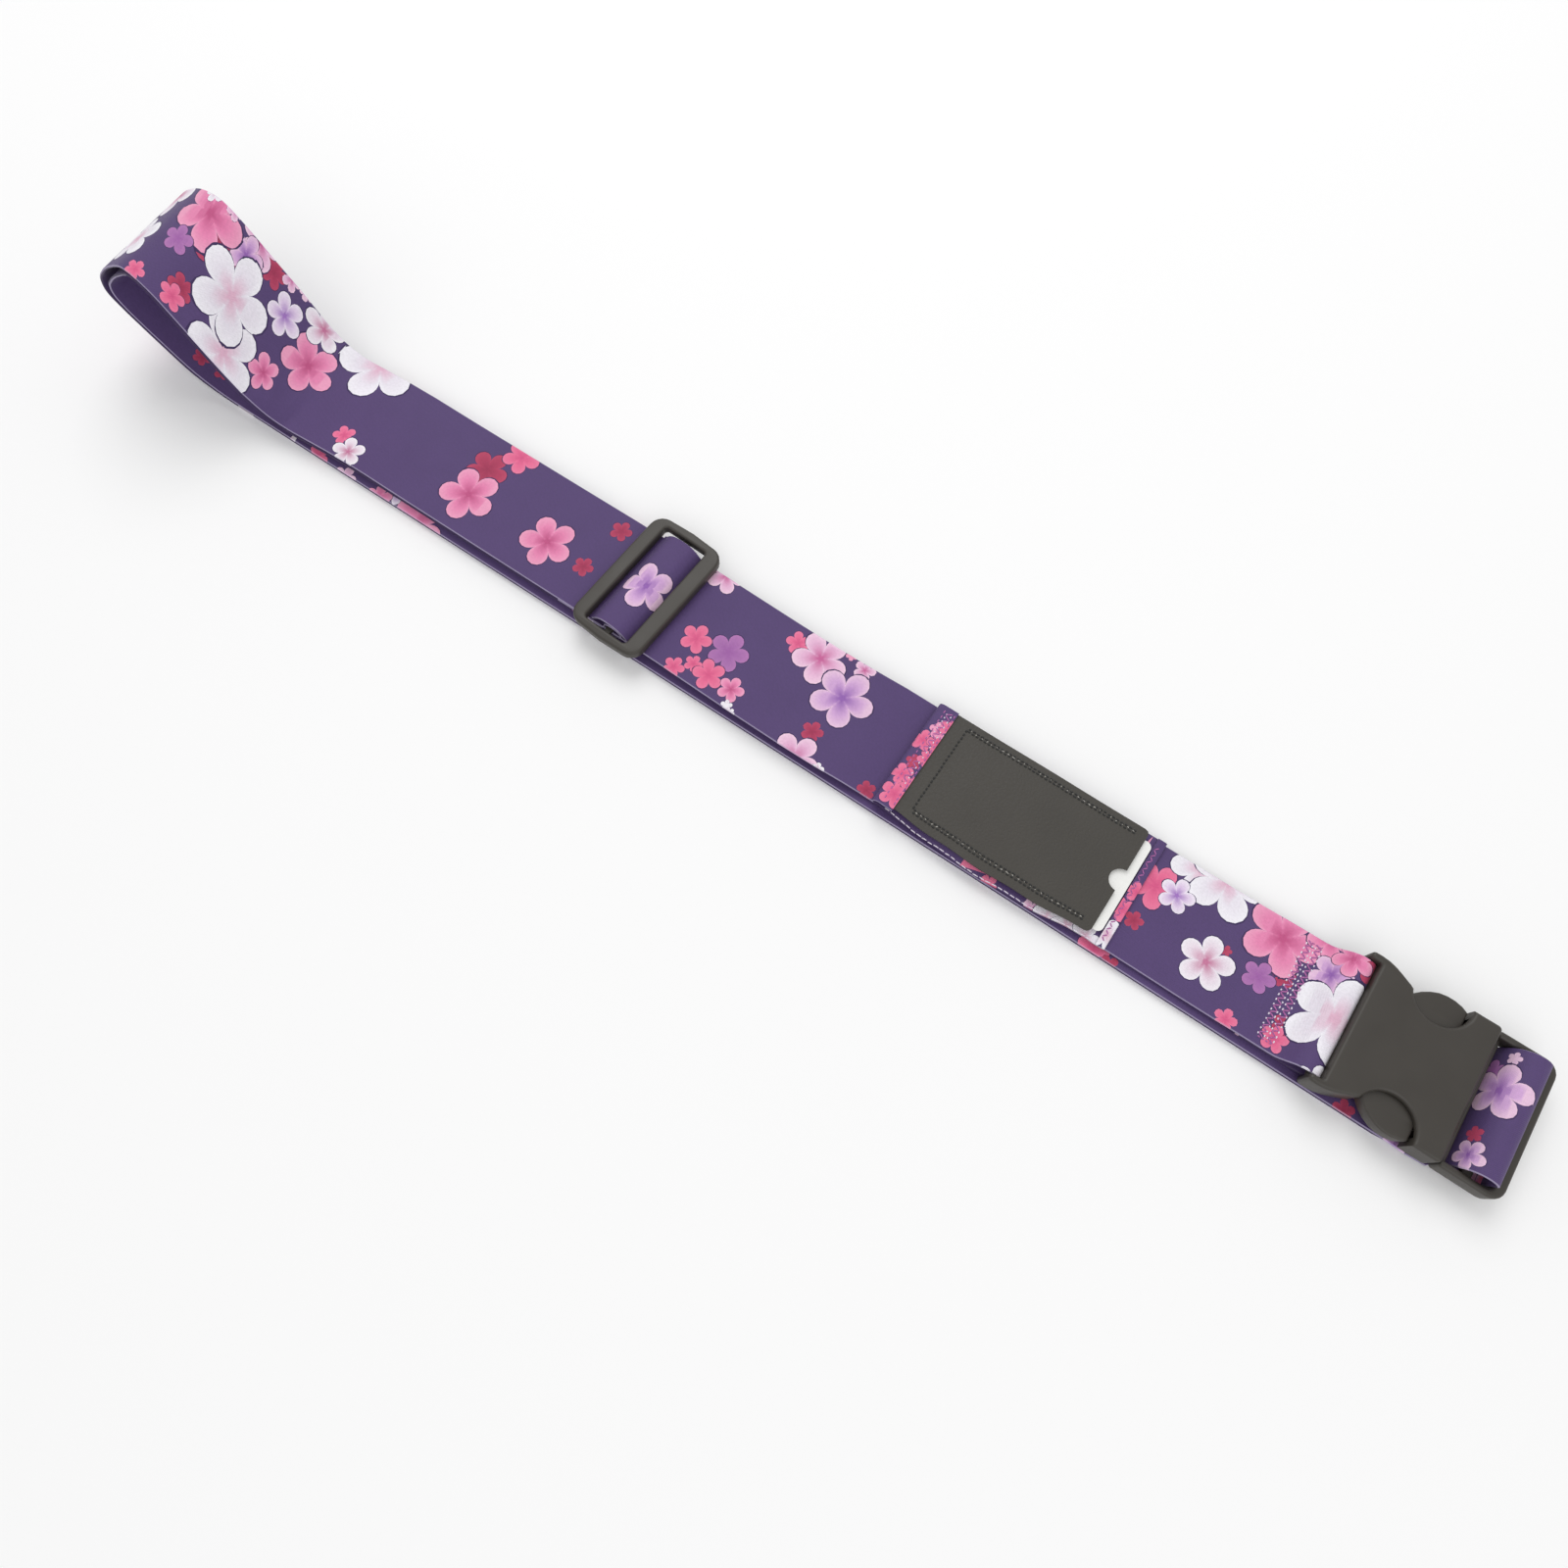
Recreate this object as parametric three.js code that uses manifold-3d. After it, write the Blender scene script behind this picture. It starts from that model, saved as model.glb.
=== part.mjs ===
// Luggage strap, folded flat: 50 mm printed webbing with a side-release buckle, a three-bar slider and
// an address tag. Millimetres, +Z up. +X runs along the strap towards the buckle, +Y across it, and Z = 0
// is the underside of the lowest run of webbing.
import * as THREE from 'three';
import { mergeVertices } from 'three/addons/utils/BufferGeometryUtils.js';
import Module from 'manifold-3d';

const wasm = await Module();
wasm.setup();

// ---- driving dimensions ----
const webbingWidth = 50;
const webbingThickness = 1.2;
const lowerRunY = -3;            // the lower runs lie a little nearer than the top run
const bottomOuterZ = 0.6;        // centre heights of the runs of webbing
const bottomInnerZ = 2.1;
const tailZ = 3.6;
const topZ = 4.2;
const sliderRunZ = 6.6;          // where the top run passes under the slider's bars

const foldSplitX = -240;         // the fold's lower ends
const topSplitX = -181;          // the top run's change to the fold
const tailSplitX = -192.5;       // the second run's change to the fold
const tagSplitX = 74.4;
const eyeSplitX = 250.6;
const rollSplitX = 316.6;
const splitGap = 0.3;
const leanStartZ = 8;            // above this height the fold is a little twisted
const leanX = -262;              // where its far side stands highest over its near side
const leanReach = 44;
const leanRise = 9;
const leanOut = 0.03;

const sliderX = -54.6;
const sliderLength = 36.4;
const sliderWidth = 63;
const sliderWindowLength = 21;
const sliderWindowWidth = 53.6;
const sliderBottomZ = 7.5;
const sliderHeight = 4.6;
const sliderBarLength = 3.2;
const sliderBarBottomZ = 8.1;
const sliderBarHeight = 1.7;
const sliderYaw = THREE.MathUtils.degToRad(-2.5);

const buckleHalfWidth = 28.4;
const slotHalfWidth = 25.6;
const femaleBottomZ = 3.6;
const femaleHeight = 12;
const femaleSlotX = 268.2;
const femaleEndX = 313.7;
const hornTipX = 260.6;
const waistX = 281.2;
const waistY = 23.6;
const biteX = 291.8;             // round bite in each side, where a thumb pad shows
const biteY = 27;
const biteRadius = 11.2;
const femaleBarX = 260.9;
const cavityStartX = 272;
const cavityEndHalfWidth = 19.4;
const cavityHalfWidth = 25.2;
const cavityBottomZ = 5.8;
const cavityHeight = 7.6;

const maleStartX = 314.3;
const maleEndX = 337.4;
const maleBottomZ = 4.3;
const maleHeight = 9;
const maleWindowStartX = 317.8;
const maleWindowEndX = 332.8;
const maleWindowHalfWidth = 25.8;
const prongBottomZ = 6.4;
const prongHeight = 6.4;
const shoulderX = 302.1;         // the face of each prong that latches behind the side bite's rim

const tagStartX = 76.6;
const tagEndX = 181.9;
const tagWidth = 50.8;
const tapeThickness = 0.6;
const tapeZ = 5.4;
const leftHemEndX = 85.6;
const leftHemZ = 9;
const rightHemStartX = 178;
const rightHemZ = 6.3;
const panelStartX = 80;
const panelEndX = 173.7;
const panelWidth = 48.6;
const panelY = 0.7;
const panelBottomZ = 7.6;
const panelThickness = 0.8;
const notchRadius = 4.8;
const cardStartX = 94.5;
const cardEndX = 177.4;
const cardWidth = 42.5;
const cardBottomZ = 7;
const cardThickness = 0.4;
const threadWidth = 0.8;
const threadThickness = 0.3;
const threadGap = 0.15;

// ---- materials ----
const materials = {
  webbing: new THREE.MeshStandardMaterial({ color: '#58467a', roughness: 0.55, metalness: 0 }),
  plastic: new THREE.MeshStandardMaterial({ color: '#3f3c38', roughness: 0.45, metalness: 0 }),
  tape: new THREE.MeshStandardMaterial({ color: '#c4608c', roughness: 0.6, metalness: 0 }),
  panel: new THREE.MeshStandardMaterial({ color: '#504c46', roughness: 0.5, metalness: 0 }),
  card: new THREE.MeshStandardMaterial({ color: '#f4f4f2', roughness: 0.5, metalness: 0 }),
  purpleThread: new THREE.MeshStandardMaterial({ color: '#7a3f8a', roughness: 0.6, metalness: 0 }),
  blackThread: new THREE.MeshStandardMaterial({ color: '#2b2926', roughness: 0.6, metalness: 0 }),
};

const strap = new THREE.Group();

function addPiece(name, geometry, material) {
  const mesh = new THREE.Mesh(geometry, materials[material]);
  mesh.name = name;
  strap.add(mesh);
  return mesh;
}

// ---- solids ----
function toManifold(geometry) {
  const bare = geometry.clone();
  bare.deleteAttribute('normal');
  bare.deleteAttribute('uv');
  const merged = mergeVertices(bare, 1e-4);
  const mesh = new wasm.Mesh({
    numProp: 3,
    vertProperties: new Float32Array(merged.attributes.position.array),
    triVerts: new Uint32Array(merged.index.array),
  });
  return new wasm.Manifold(mesh);
}

function toGeometry(manifold) {
  const mesh = manifold.getMesh();
  const geometry = new THREE.BufferGeometry();
  geometry.setAttribute('position', new THREE.BufferAttribute(mesh.vertProperties, 3));
  geometry.setIndex(new THREE.BufferAttribute(mesh.triVerts, 1));
  geometry.computeVertexNormals();
  return geometry;
}

function join(first, ...others) {
  return toGeometry(others.reduce((sum, one) => sum.add(toManifold(one)), toManifold(first)));
}

function cut(first, ...others) {
  return toGeometry(others.reduce((rest, one) => rest.subtract(toManifold(one)), toManifold(first)));
}

function plate(shape, bottomZ, height, bevel = 0) {
  const geometry = new THREE.ExtrudeGeometry(shape, {
    depth: height - 2 * bevel,
    bevelEnabled: bevel > 0,
    bevelThickness: bevel,
    bevelSize: bevel,
    bevelOffset: -bevel,
    bevelSegments: 2,
    curveSegments: 8,
  });
  return geometry.translate(0, 0, bottomZ + bevel);
}

function box(x0, x1, y0, y1, z0, z1) {
  const geometry = new THREE.BoxGeometry(x1 - x0, y1 - y0, z1 - z0);
  return geometry.translate((x0 + x1) / 2, (y0 + y1) / 2, (z0 + z1) / 2);
}

function roundedRectangle(x0, x1, y0, y1, radius) {
  const shape = new THREE.Shape();
  shape.moveTo(x0 + radius, y0);
  shape.lineTo(x1 - radius, y0);
  shape.absarc(x1 - radius, y0 + radius, radius, -Math.PI / 2, 0);
  shape.lineTo(x1, y1 - radius);
  shape.absarc(x1 - radius, y1 - radius, radius, 0, Math.PI / 2);
  shape.lineTo(x0 + radius, y1);
  shape.absarc(x0 + radius, y1 - radius, radius, Math.PI / 2, Math.PI);
  shape.lineTo(x0, y0 + radius);
  shape.absarc(x0 + radius, y0 + radius, radius, Math.PI, 1.5 * Math.PI);
  return shape;
}

// A band of webbing or tape whose middle runs through points [x, y, z]: a long box that is bent along
// the curve, level across its width.
function band(points, segments, width = webbingWidth, thickness = webbingThickness) {
  const curve = new THREE.CatmullRomCurve3(points.map((p) => new THREE.Vector3(...p)), false, 'centripetal');
  curve.arcLengthDivisions = 600;
  const geometry = new THREE.BoxGeometry(1, width, thickness, segments, 1, 1);
  const position = geometry.attributes.position;
  for (let i = 0; i < position.count; i += 1) {
    const along = Math.min(Math.max(position.getX(i) + 0.5, 0), 1);
    const middle = curve.getPointAt(along);
    const tangent = curve.getTangentAt(along);
    const length = Math.hypot(tangent.x, tangent.z);
    const height = position.getZ(i);
    position.setXYZ(
      i,
      middle.x - (tangent.z / length) * height,
      middle.y + position.getY(i),
      middle.z + (tangent.x / length) * height,
    );
  }
  geometry.computeVertexNormals();
  return geometry;
}

// Where the fold comes down to the flat run its far side stands higher, and its bend leans outwards.
function lean(geometry) {
  const position = geometry.attributes.position;
  for (let i = 0; i < position.count; i += 1) {
    const rise = Math.max(position.getZ(i) - leanStartZ, 0);
    const across = position.getY(i) / (webbingWidth / 2);
    const along = (position.getX(i) - leanX) / leanReach;
    const share = Math.max(1 - along * along, 0) ** 2 * Math.min(rise / 20, 1);
    position.setX(i, position.getX(i) - leanOut * rise * (1 + across));
    position.setZ(i, position.getZ(i) + leanRise * share * across);
  }
  geometry.computeVertexNormals();
  return geometry;
}

// Points [x, z] that all lie at one y.
function level(y, points) {
  return points.map(([x, z]) => [x, y, z]);
}

// ---- webbing ----
function addWebbing() {
  addPiece('webbing_bottom_outer', band([
    [foldSplitX + splitGap, lowerRunY, bottomOuterZ], [rollSplitX - splitGap, lowerRunY, bottomOuterZ],
  ], 4), 'webbing');
  addPiece('webbing_bottom_inner', band([
    [foldSplitX + splitGap, lowerRunY, bottomInnerZ], [rollSplitX - splitGap, lowerRunY, bottomInnerZ],
  ], 4), 'webbing');
  addPiece('webbing_fold_outer', lean(band([
    [foldSplitX, lowerRunY, bottomOuterZ], [-255, lowerRunY, 0.63], [-268, lowerRunY, 0.72],
    [-279, lowerRunY, 1], [-290, lowerRunY, 2], [-301, lowerRunY, 5.2], [-311, -2.9, 12.5],
    [-321, -2.6, 20.5], [-330, -2.2, 27.8], [-335.2, -1.8, 34], [-333.4, -1.4, 41.5],
    [-325, -0.9, 51], [-313, -0.4, 60], [-300, -0.6, 66.2], [-287, -1.6, 65.6], [-277, -2.6, 57.6],
    [-267.5, lowerRunY, 42.5], [-257.5, lowerRunY, 26], [-248, lowerRunY, 14.6], [-238, -2.4, 9.6],
    [-222, -1, 7.9], [-200, 0, 7.1], [topSplitX - splitGap, 0, 6.8],
  ], 72)), 'webbing');
  addPiece('webbing_fold_inner', lean(band([
    [foldSplitX, lowerRunY, bottomInnerZ], [-262, lowerRunY, 2.15], [-277, lowerRunY, 2.6],
    [-288.5, lowerRunY, 4.2], [-299, lowerRunY, 8.4], [-308.5, -2.9, 15.6], [-318.5, -2.6, 23.4],
    [-326.4, -2.2, 30], [-329.8, -1.8, 35.4], [-328.6, -1.4, 41], [-321.6, -0.9, 48.6],
    [-310.5, -0.4, 56.8], [-299.8, -0.6, 62.4], [-290.2, -1.6, 62], [-281.4, -2.6, 54.8],
    [-271.4, lowerRunY, 39.6], [-261.4, lowerRunY, 23.4], [-250.8, lowerRunY, 11.4],
    [-240, -2.5, 6.5], [-224, -1.2, 4.9], [-208, -0.3, 4.3], [tailSplitX - splitGap, 0, 4],
  ], 72)), 'webbing');
  addPiece('webbing_top', band(level(0, [
    [topSplitX, 6.8], [-150, 6.7], [-110, sliderRunZ], [sliderX - 17, sliderRunZ],
  ]), 8), 'webbing');
  addPiece('webbing_tail', band(level(0, [
    [tailSplitX, 4], [-160, 3.8], [-120, tailZ], [-85, tailZ],
  ]), 8), 'webbing');
  addPiece('webbing_slider_wrap', band(level(0, [
    [-84.6, tailZ], [-70, tailZ], [-61, tailZ], [-55.5, 3.9], [-52, 5.2], [-50.5, 7.6], [-51, 9.9],
    [-52.8, 11.2], [-56.4, 11.2], [-58.2, 9.9], [-58.9, 7.8], [-60.2, 6.1], [-63.5, 5.1], [-72, 5.1],
    [-84.6, 5.1],
  ]), 48), 'webbing');
  addPiece('webbing_slider_hump', band(level(0, [
    [-71.3, sliderRunZ], [-67, sliderRunZ], [-63.4, 7], [-61.8, 8.9], [-60.4, 11.1], [-58, 12.6],
    [sliderX, 13.1], [-51.2, 12.6], [-48.8, 11.1], [-47.4, 8.9], [-45.8, 7], [-42.2, sliderRunZ],
    [-37.9, sliderRunZ],
  ]), 40), 'webbing');
  addPiece('webbing_middle', band(level(0, [
    [-37.5, sliderRunZ], [-20, 6], [5, 4.9], [30, 4.3], [55, topZ], [tagSplitX, topZ],
  ]), 12), 'webbing');
  addPiece('webbing_front', band(level(0, [
    [tagSplitX + splitGap, topZ], [130, topZ], [200, topZ], [216, 4.25], [228, 4.65], [237, 5.3],
    [249, 5.55], [eyeSplitX, 5.65],
  ]), 16), 'webbing');
  addPiece('webbing_buckle_eye', band(level(0, [
    [eyeSplitX + splitGap, 5.75], [253, 6.3], [256, 8.7], [259, 11.6], [262, 12.8], [265, 12.2],
    [266.5, 9.6], [265.8, 6.7], [262, 5], [256, 4.1], [248, 3.75], [237, 3.7],
  ]), 44), 'webbing');
  addPiece('webbing_buckle_roll', band(level(0.4, [
    [rollSplitX, bottomOuterZ], [319, 0.63], [322, 0.78], [325.2, 1.4], [328.2, 2.9], [330.5, 5.6],
    [331.3, 9.4], [328.8, 14], [324.6, 16], [320.9, 14], [319.4, 9.4], [319.3, 5.2], [318.9, 3.4], [318, 2.3],
    [rollSplitX, bottomInnerZ],
  ]), 48), 'webbing');
}

// ---- three-bar slider ----
function addSlider() {
  const frame = roundedRectangle(
    -sliderLength / 2, sliderLength / 2, -sliderWidth / 2, sliderWidth / 2, 5);
  frame.holes.push(roundedRectangle(
    -sliderWindowLength / 2, sliderWindowLength / 2, -sliderWindowWidth / 2, sliderWindowWidth / 2, 1.6));
  const barHalfWidth = sliderWindowWidth / 2 + 1.5;
  const bar = box(
    -sliderBarLength / 2, sliderBarLength / 2, -barHalfWidth, barHalfWidth,
    sliderBarBottomZ, sliderBarBottomZ + sliderBarHeight);
  const mesh = addPiece('slider', join(plate(frame, sliderBottomZ, sliderHeight, 0.8), bar), 'plastic');
  mesh.position.x = sliderX;
  mesh.rotation.z = sliderYaw;
}

// ---- female buckle ----
function femaleOutline() {
  const shape = new THREE.Shape();
  const corner = 1;
  shape.moveTo(femaleSlotX, -slotHalfWidth);
  shape.lineTo(hornTipX + 1.2, -slotHalfWidth);
  shape.quadraticCurveTo(hornTipX, -slotHalfWidth, hornTipX, -slotHalfWidth - 1.3);
  shape.quadraticCurveTo(hornTipX, -buckleHalfWidth, hornTipX + 1.8, -buckleHalfWidth);
  shape.bezierCurveTo(270, -buckleHalfWidth, 276, -26, waistX, -waistY);
  shape.lineTo(waistX + 2.4, -buckleHalfWidth);
  shape.lineTo(femaleEndX - corner, -buckleHalfWidth);
  shape.lineTo(femaleEndX, -buckleHalfWidth + corner);
  shape.lineTo(femaleEndX, buckleHalfWidth - corner);
  shape.lineTo(femaleEndX - corner, buckleHalfWidth);
  shape.lineTo(waistX + 2.4, buckleHalfWidth);
  shape.lineTo(waistX, waistY);
  shape.bezierCurveTo(276, 26, 270, buckleHalfWidth, hornTipX + 1.8, buckleHalfWidth);
  shape.quadraticCurveTo(hornTipX, buckleHalfWidth, hornTipX, slotHalfWidth + 1.3);
  shape.quadraticCurveTo(hornTipX, slotHalfWidth, hornTipX + 1.2, slotHalfWidth);
  shape.lineTo(femaleSlotX, slotHalfWidth);
  return shape;
}

function cavityOutline() {
  const openEndX = femaleEndX + 5;
  const shape = new THREE.Shape();
  shape.moveTo(cavityStartX, -cavityEndHalfWidth);
  shape.lineTo(278.5, -cavityEndHalfWidth);
  shape.lineTo(283.5, -cavityHalfWidth);
  shape.lineTo(openEndX, -cavityHalfWidth);
  shape.lineTo(openEndX, cavityHalfWidth);
  shape.lineTo(283.5, cavityHalfWidth);
  shape.lineTo(278.5, cavityEndHalfWidth);
  shape.lineTo(cavityStartX, cavityEndHalfWidth);
  return shape;
}

function biteCylinder(side) {
  const geometry = new THREE.CylinderGeometry(biteRadius, biteRadius, 3 * femaleHeight, 40);
  return geometry.rotateX(Math.PI / 2).translate(biteX, side * biteY, femaleBottomZ);
}

function addFemaleBuckle() {
  const shell = cut(
    plate(femaleOutline(), femaleBottomZ, femaleHeight, 0.8),
    plate(cavityOutline(), cavityBottomZ, cavityHeight),
    biteCylinder(1), biteCylinder(-1));
  const barEndY = slotHalfWidth + 1;
  const bar = box(femaleBarX, femaleBarX + 3.8, -barEndY, barEndY, 7.6, 11.4);
  addPiece('female_buckle', join(shell, bar), 'plastic');
}

// ---- male buckle ----
function addMaleBuckle() {
  const outerCorner = 5;
  const frame = new THREE.Shape();
  frame.moveTo(maleStartX, -buckleHalfWidth);
  frame.lineTo(maleEndX - outerCorner, -buckleHalfWidth);
  frame.absarc(maleEndX - outerCorner, -buckleHalfWidth + outerCorner, outerCorner, -Math.PI / 2, 0);
  frame.lineTo(maleEndX, buckleHalfWidth - outerCorner);
  frame.absarc(maleEndX - outerCorner, buckleHalfWidth - outerCorner, outerCorner, 0, Math.PI / 2);
  frame.lineTo(maleStartX, buckleHalfWidth);
  frame.holes.push(roundedRectangle(
    maleWindowStartX, maleWindowEndX, -maleWindowHalfWidth, maleWindowHalfWidth, 1.5));
  const barEndY = maleWindowHalfWidth + 1;
  addPiece('male_buckle', join(
    plate(frame, maleBottomZ, maleHeight, 0.8),
    box(322.6, 326.6, -barEndY, barEndY, 6.8, 10.6),
    box(304, maleStartX + 1.5, -12.4, 12.4, prongBottomZ, prongBottomZ + prongHeight),
    box(276, 304.5, -3.6, 3.6, 7, 12.2),
  ), 'plastic');
}

function prongOutline(side) {
  const shape = new THREE.Shape();
  shape.moveTo(313.5, side * 16.2);
  shape.lineTo(313.5, side * 20.2);
  shape.lineTo(304.6, side * 20.6);
  shape.lineTo(shoulderX, side * 21.4);
  shape.lineTo(shoulderX, side * 27);
  shape.quadraticCurveTo(shoulderX - 0.8, side * 28.3, 294.5, side * 29);
  shape.quadraticCurveTo(286.5, side * 28.3, 283, side * 23.8);
  shape.lineTo(281.4, side * 20.8);
  shape.lineTo(277.2, side * 16.6);
  shape.lineTo(278.2, side * 14.4);
  shape.lineTo(290, side * 13.8);
  shape.lineTo(300, side * 15.8);
  return shape;
}

function addProngs() {
  for (const [name, side] of [['left_prong', 1], ['right_prong', -1]]) {
    addPiece(name, plate(prongOutline(side), prongBottomZ, prongHeight), 'plastic');
  }
}

// ---- address tag ----
function addTag() {
  addPiece('tag_backing', band(level(0, [
    [leftHemEndX, leftHemZ], [tagStartX + 2.4, leftHemZ], [tagStartX + 0.9, 8.5],
    [tagStartX + tapeThickness / 2, 7.2], [tagStartX + 0.9, 5.9], [tagStartX + 2.4, tapeZ],
    [tagStartX + 4, tapeZ], [tagStartX + 12, tapeZ], [tagEndX - 12, tapeZ], [tagEndX - 1.2, tapeZ],
    [tagEndX - 0.47, 5.57], [tagEndX - 0.32, 5.85], [tagEndX - 0.47, 6.13],
    [tagEndX - 1.2, rightHemZ], [rightHemStartX, rightHemZ],
  ]), 96, tagWidth, tapeThickness), 'tape');

  const halfPanel = panelWidth / 2;
  const notchY = 1;
  const panel = new THREE.Shape();
  panel.moveTo(panelStartX, panelY - halfPanel);
  panel.lineTo(panelEndX, panelY - halfPanel);
  panel.lineTo(panelEndX, notchY - notchRadius);
  panel.absarc(panelEndX, notchY, notchRadius, -Math.PI / 2, Math.PI / 2, true);
  panel.lineTo(panelEndX, panelY + halfPanel);
  panel.lineTo(panelStartX, panelY + halfPanel);
  addPiece('tag_panel', plate(panel, panelBottomZ, panelThickness), 'panel');

  const card = roundedRectangle(cardStartX, cardEndX, -cardWidth / 2, cardWidth / 2, 2.5);
  addPiece('address_card', plate(card, cardBottomZ, cardThickness), 'card');
}

// ---- thread ----
function rectangle(x0, x1, y0, y1) {
  return new THREE.Shape([[x0, y0], [x1, y0], [x1, y1], [x0, y1]].map((p) => new THREE.Vector2(...p)));
}

// Rows of stitching that close on themselves lie as a flat ring of thread.
function stitchRing(x0, x1, y0, y1, bottomZ, thickness = threadThickness) {
  const ring = rectangle(x0, x1, y0, y1);
  ring.holes.push(rectangle(
    x0 + threadWidth, x1 - threadWidth, y0 + threadWidth, y1 - threadWidth));
  return plate(ring, bottomZ, thickness);
}

function addThread() {
  addPiece('stitch_buckle_end', stitchRing(241.4, 247.6, -21, 21.4, 6.4), 'purpleThread');
  addPiece('stitch_slider_end', stitchRing(-82, -74, -21, 21, 5.75, 0.2), 'purpleThread');
  const hemHalf = tagWidth / 2 - 1;
  const hemTop = tapeThickness / 2;
  addPiece('stitch_tag_left', stitchRing(
    79.6, leftHemEndX - 0.6, -hemHalf, hemHalf, leftHemZ + hemTop + threadGap), 'purpleThread');
  addPiece('stitch_tag_right', stitchRing(
    rightHemStartX + 0.4, tagEndX - 1.3, -hemHalf, hemHalf, rightHemZ + hemTop + 0.08, 0.2), 'purpleThread');

  const seam = new THREE.Shape();
  const [seamX0, seamX1, seamY0, seamY1] = [93.2, 169.5, -20.4, 22];
  seam.moveTo(seamX0, seamY0);
  seam.lineTo(seamX1, seamY0);
  seam.lineTo(seamX1, seamY0 + threadWidth);
  seam.lineTo(seamX0 + threadWidth, seamY0 + threadWidth);
  seam.lineTo(seamX0 + threadWidth, seamY1 - threadWidth);
  seam.lineTo(seamX1, seamY1 - threadWidth);
  seam.lineTo(seamX1, seamY1);
  seam.lineTo(seamX0, seamY1);
  addPiece('stitch_pocket', plate(
    seam, panelBottomZ + panelThickness + threadGap, threadThickness), 'blackThread');
}

addWebbing();
addSlider();
addFemaleBuckle();
addMaleBuckle();
addProngs();
addTag();
addThread();

export default strap;
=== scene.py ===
# Looks of the folded luggage strap: printed webbing, side-release buckle, slider and address tag.
# Metres, in the CAD frame. Lengths that are easier to read in millimetres are multiplied by MM.
import math
import random

import bmesh
import bpy
import numpy as np
from mathutils import Matrix, Vector
from mathutils.geometry import delaunay_2d_cdt, tessellate_polygon


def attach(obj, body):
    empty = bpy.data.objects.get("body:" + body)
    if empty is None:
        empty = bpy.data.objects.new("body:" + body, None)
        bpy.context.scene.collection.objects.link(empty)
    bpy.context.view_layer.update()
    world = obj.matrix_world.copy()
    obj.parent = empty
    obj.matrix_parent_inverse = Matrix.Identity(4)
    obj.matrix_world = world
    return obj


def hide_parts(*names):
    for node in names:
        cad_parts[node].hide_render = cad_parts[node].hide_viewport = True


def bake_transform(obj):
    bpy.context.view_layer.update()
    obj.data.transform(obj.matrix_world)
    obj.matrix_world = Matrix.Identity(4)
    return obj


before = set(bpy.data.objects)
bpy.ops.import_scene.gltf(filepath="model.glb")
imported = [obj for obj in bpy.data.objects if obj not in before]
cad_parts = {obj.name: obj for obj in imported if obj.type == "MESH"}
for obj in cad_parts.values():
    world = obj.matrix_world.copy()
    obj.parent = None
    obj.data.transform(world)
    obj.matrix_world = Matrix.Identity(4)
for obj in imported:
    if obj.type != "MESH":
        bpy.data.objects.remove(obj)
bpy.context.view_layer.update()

MM = 0.001
random.seed(7)

WEBBING_WIDTH = 50
WEBBING_THICKNESS = 1.2
SLIDER_X = -54.6
SLIDER_YAW = math.radians(-2.5)
LOWER_RUN_Y = -3        # the runs on the floor lie this much nearer than those above them


# ---- colours ----
def colour(red, green, blue):
    """Screen values from 0 to 255, as the linear colour that a shader takes."""
    def linear(value):
        value /= 255
        return value / 12.92 if value <= 0.04045 else ((value + 0.055) / 1.055) ** 2.4
    return (linear(red), linear(green), linear(blue), 1.0)


GROUND = colour(84, 65, 112)
OUTLINE = colour(58, 42, 86)
# The selvedge's upper half is mixed towards this colour: partly the selvedge's paler yarn, partly a
# painted highlight.
SELVEDGE_AND_HIGHLIGHT = colour(196, 186, 214)
# Each kind of blossom: the colour at its centre, halfway out and at the rim of its petals.
BLOSSOMS = {
    "snow": (colour(222, 178, 200), colour(232, 226, 236), colour(240, 238, 244)),
    "white": (colour(196, 118, 154), colour(230, 212, 226), colour(240, 236, 242)),
    "frost": (colour(160, 116, 190), colour(220, 198, 228), colour(238, 230, 242)),
    "blush": (colour(198, 100, 152), colour(226, 174, 208), colour(238, 202, 224)),
    "pink": (colour(192, 84, 132), colour(228, 130, 174), colour(236, 160, 192)),
    "rose": (colour(214, 88, 134), colour(230, 108, 148), colour(232, 122, 158)),
    "crimson": (colour(158, 50, 84), colour(172, 58, 92), colour(184, 68, 100)),
    "lilac": (colour(146, 98, 174), colour(204, 160, 210), colour(230, 194, 220)),
    "violet": (colour(158, 96, 164), colour(166, 108, 170), colour(176, 116, 176)),
}


# ---- routes ----
def smooth_route(points):
    """Close points, in metres, along a centripetal Catmull-Rom curve through millimetre points."""
    stops = [np.array(p, float) * MM for p in points]
    stops = [2 * stops[0] - stops[1]] + stops + [2 * stops[-1] - stops[-2]]
    route = []
    for p0, p1, p2, p3 in zip(stops, stops[1:], stops[2:], stops[3:]):
        d0, d1, d2 = (np.linalg.norm(b - a) ** 0.5 for a, b in ((p0, p1), (p1, p2), (p2, p3)))
        t1 = ((p1 - p0) / d0 - (p2 - p0) / (d0 + d1) + (p2 - p1) / d1) * d1
        t2 = ((p2 - p1) / d1 - (p3 - p1) / (d1 + d2) + (p3 - p2) / d2) * d1
        for u in np.linspace(0, 1, 24, endpoint=False):
            route.append(
                p1 * (2 * u**3 - 3 * u**2 + 1) + t1 * (u**3 - 2 * u**2 + u)
                + p2 * (3 * u**2 - 2 * u**3) + t2 * (u**3 - u**2))
    route.append(stops[-2])
    return np.array(route)


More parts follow.
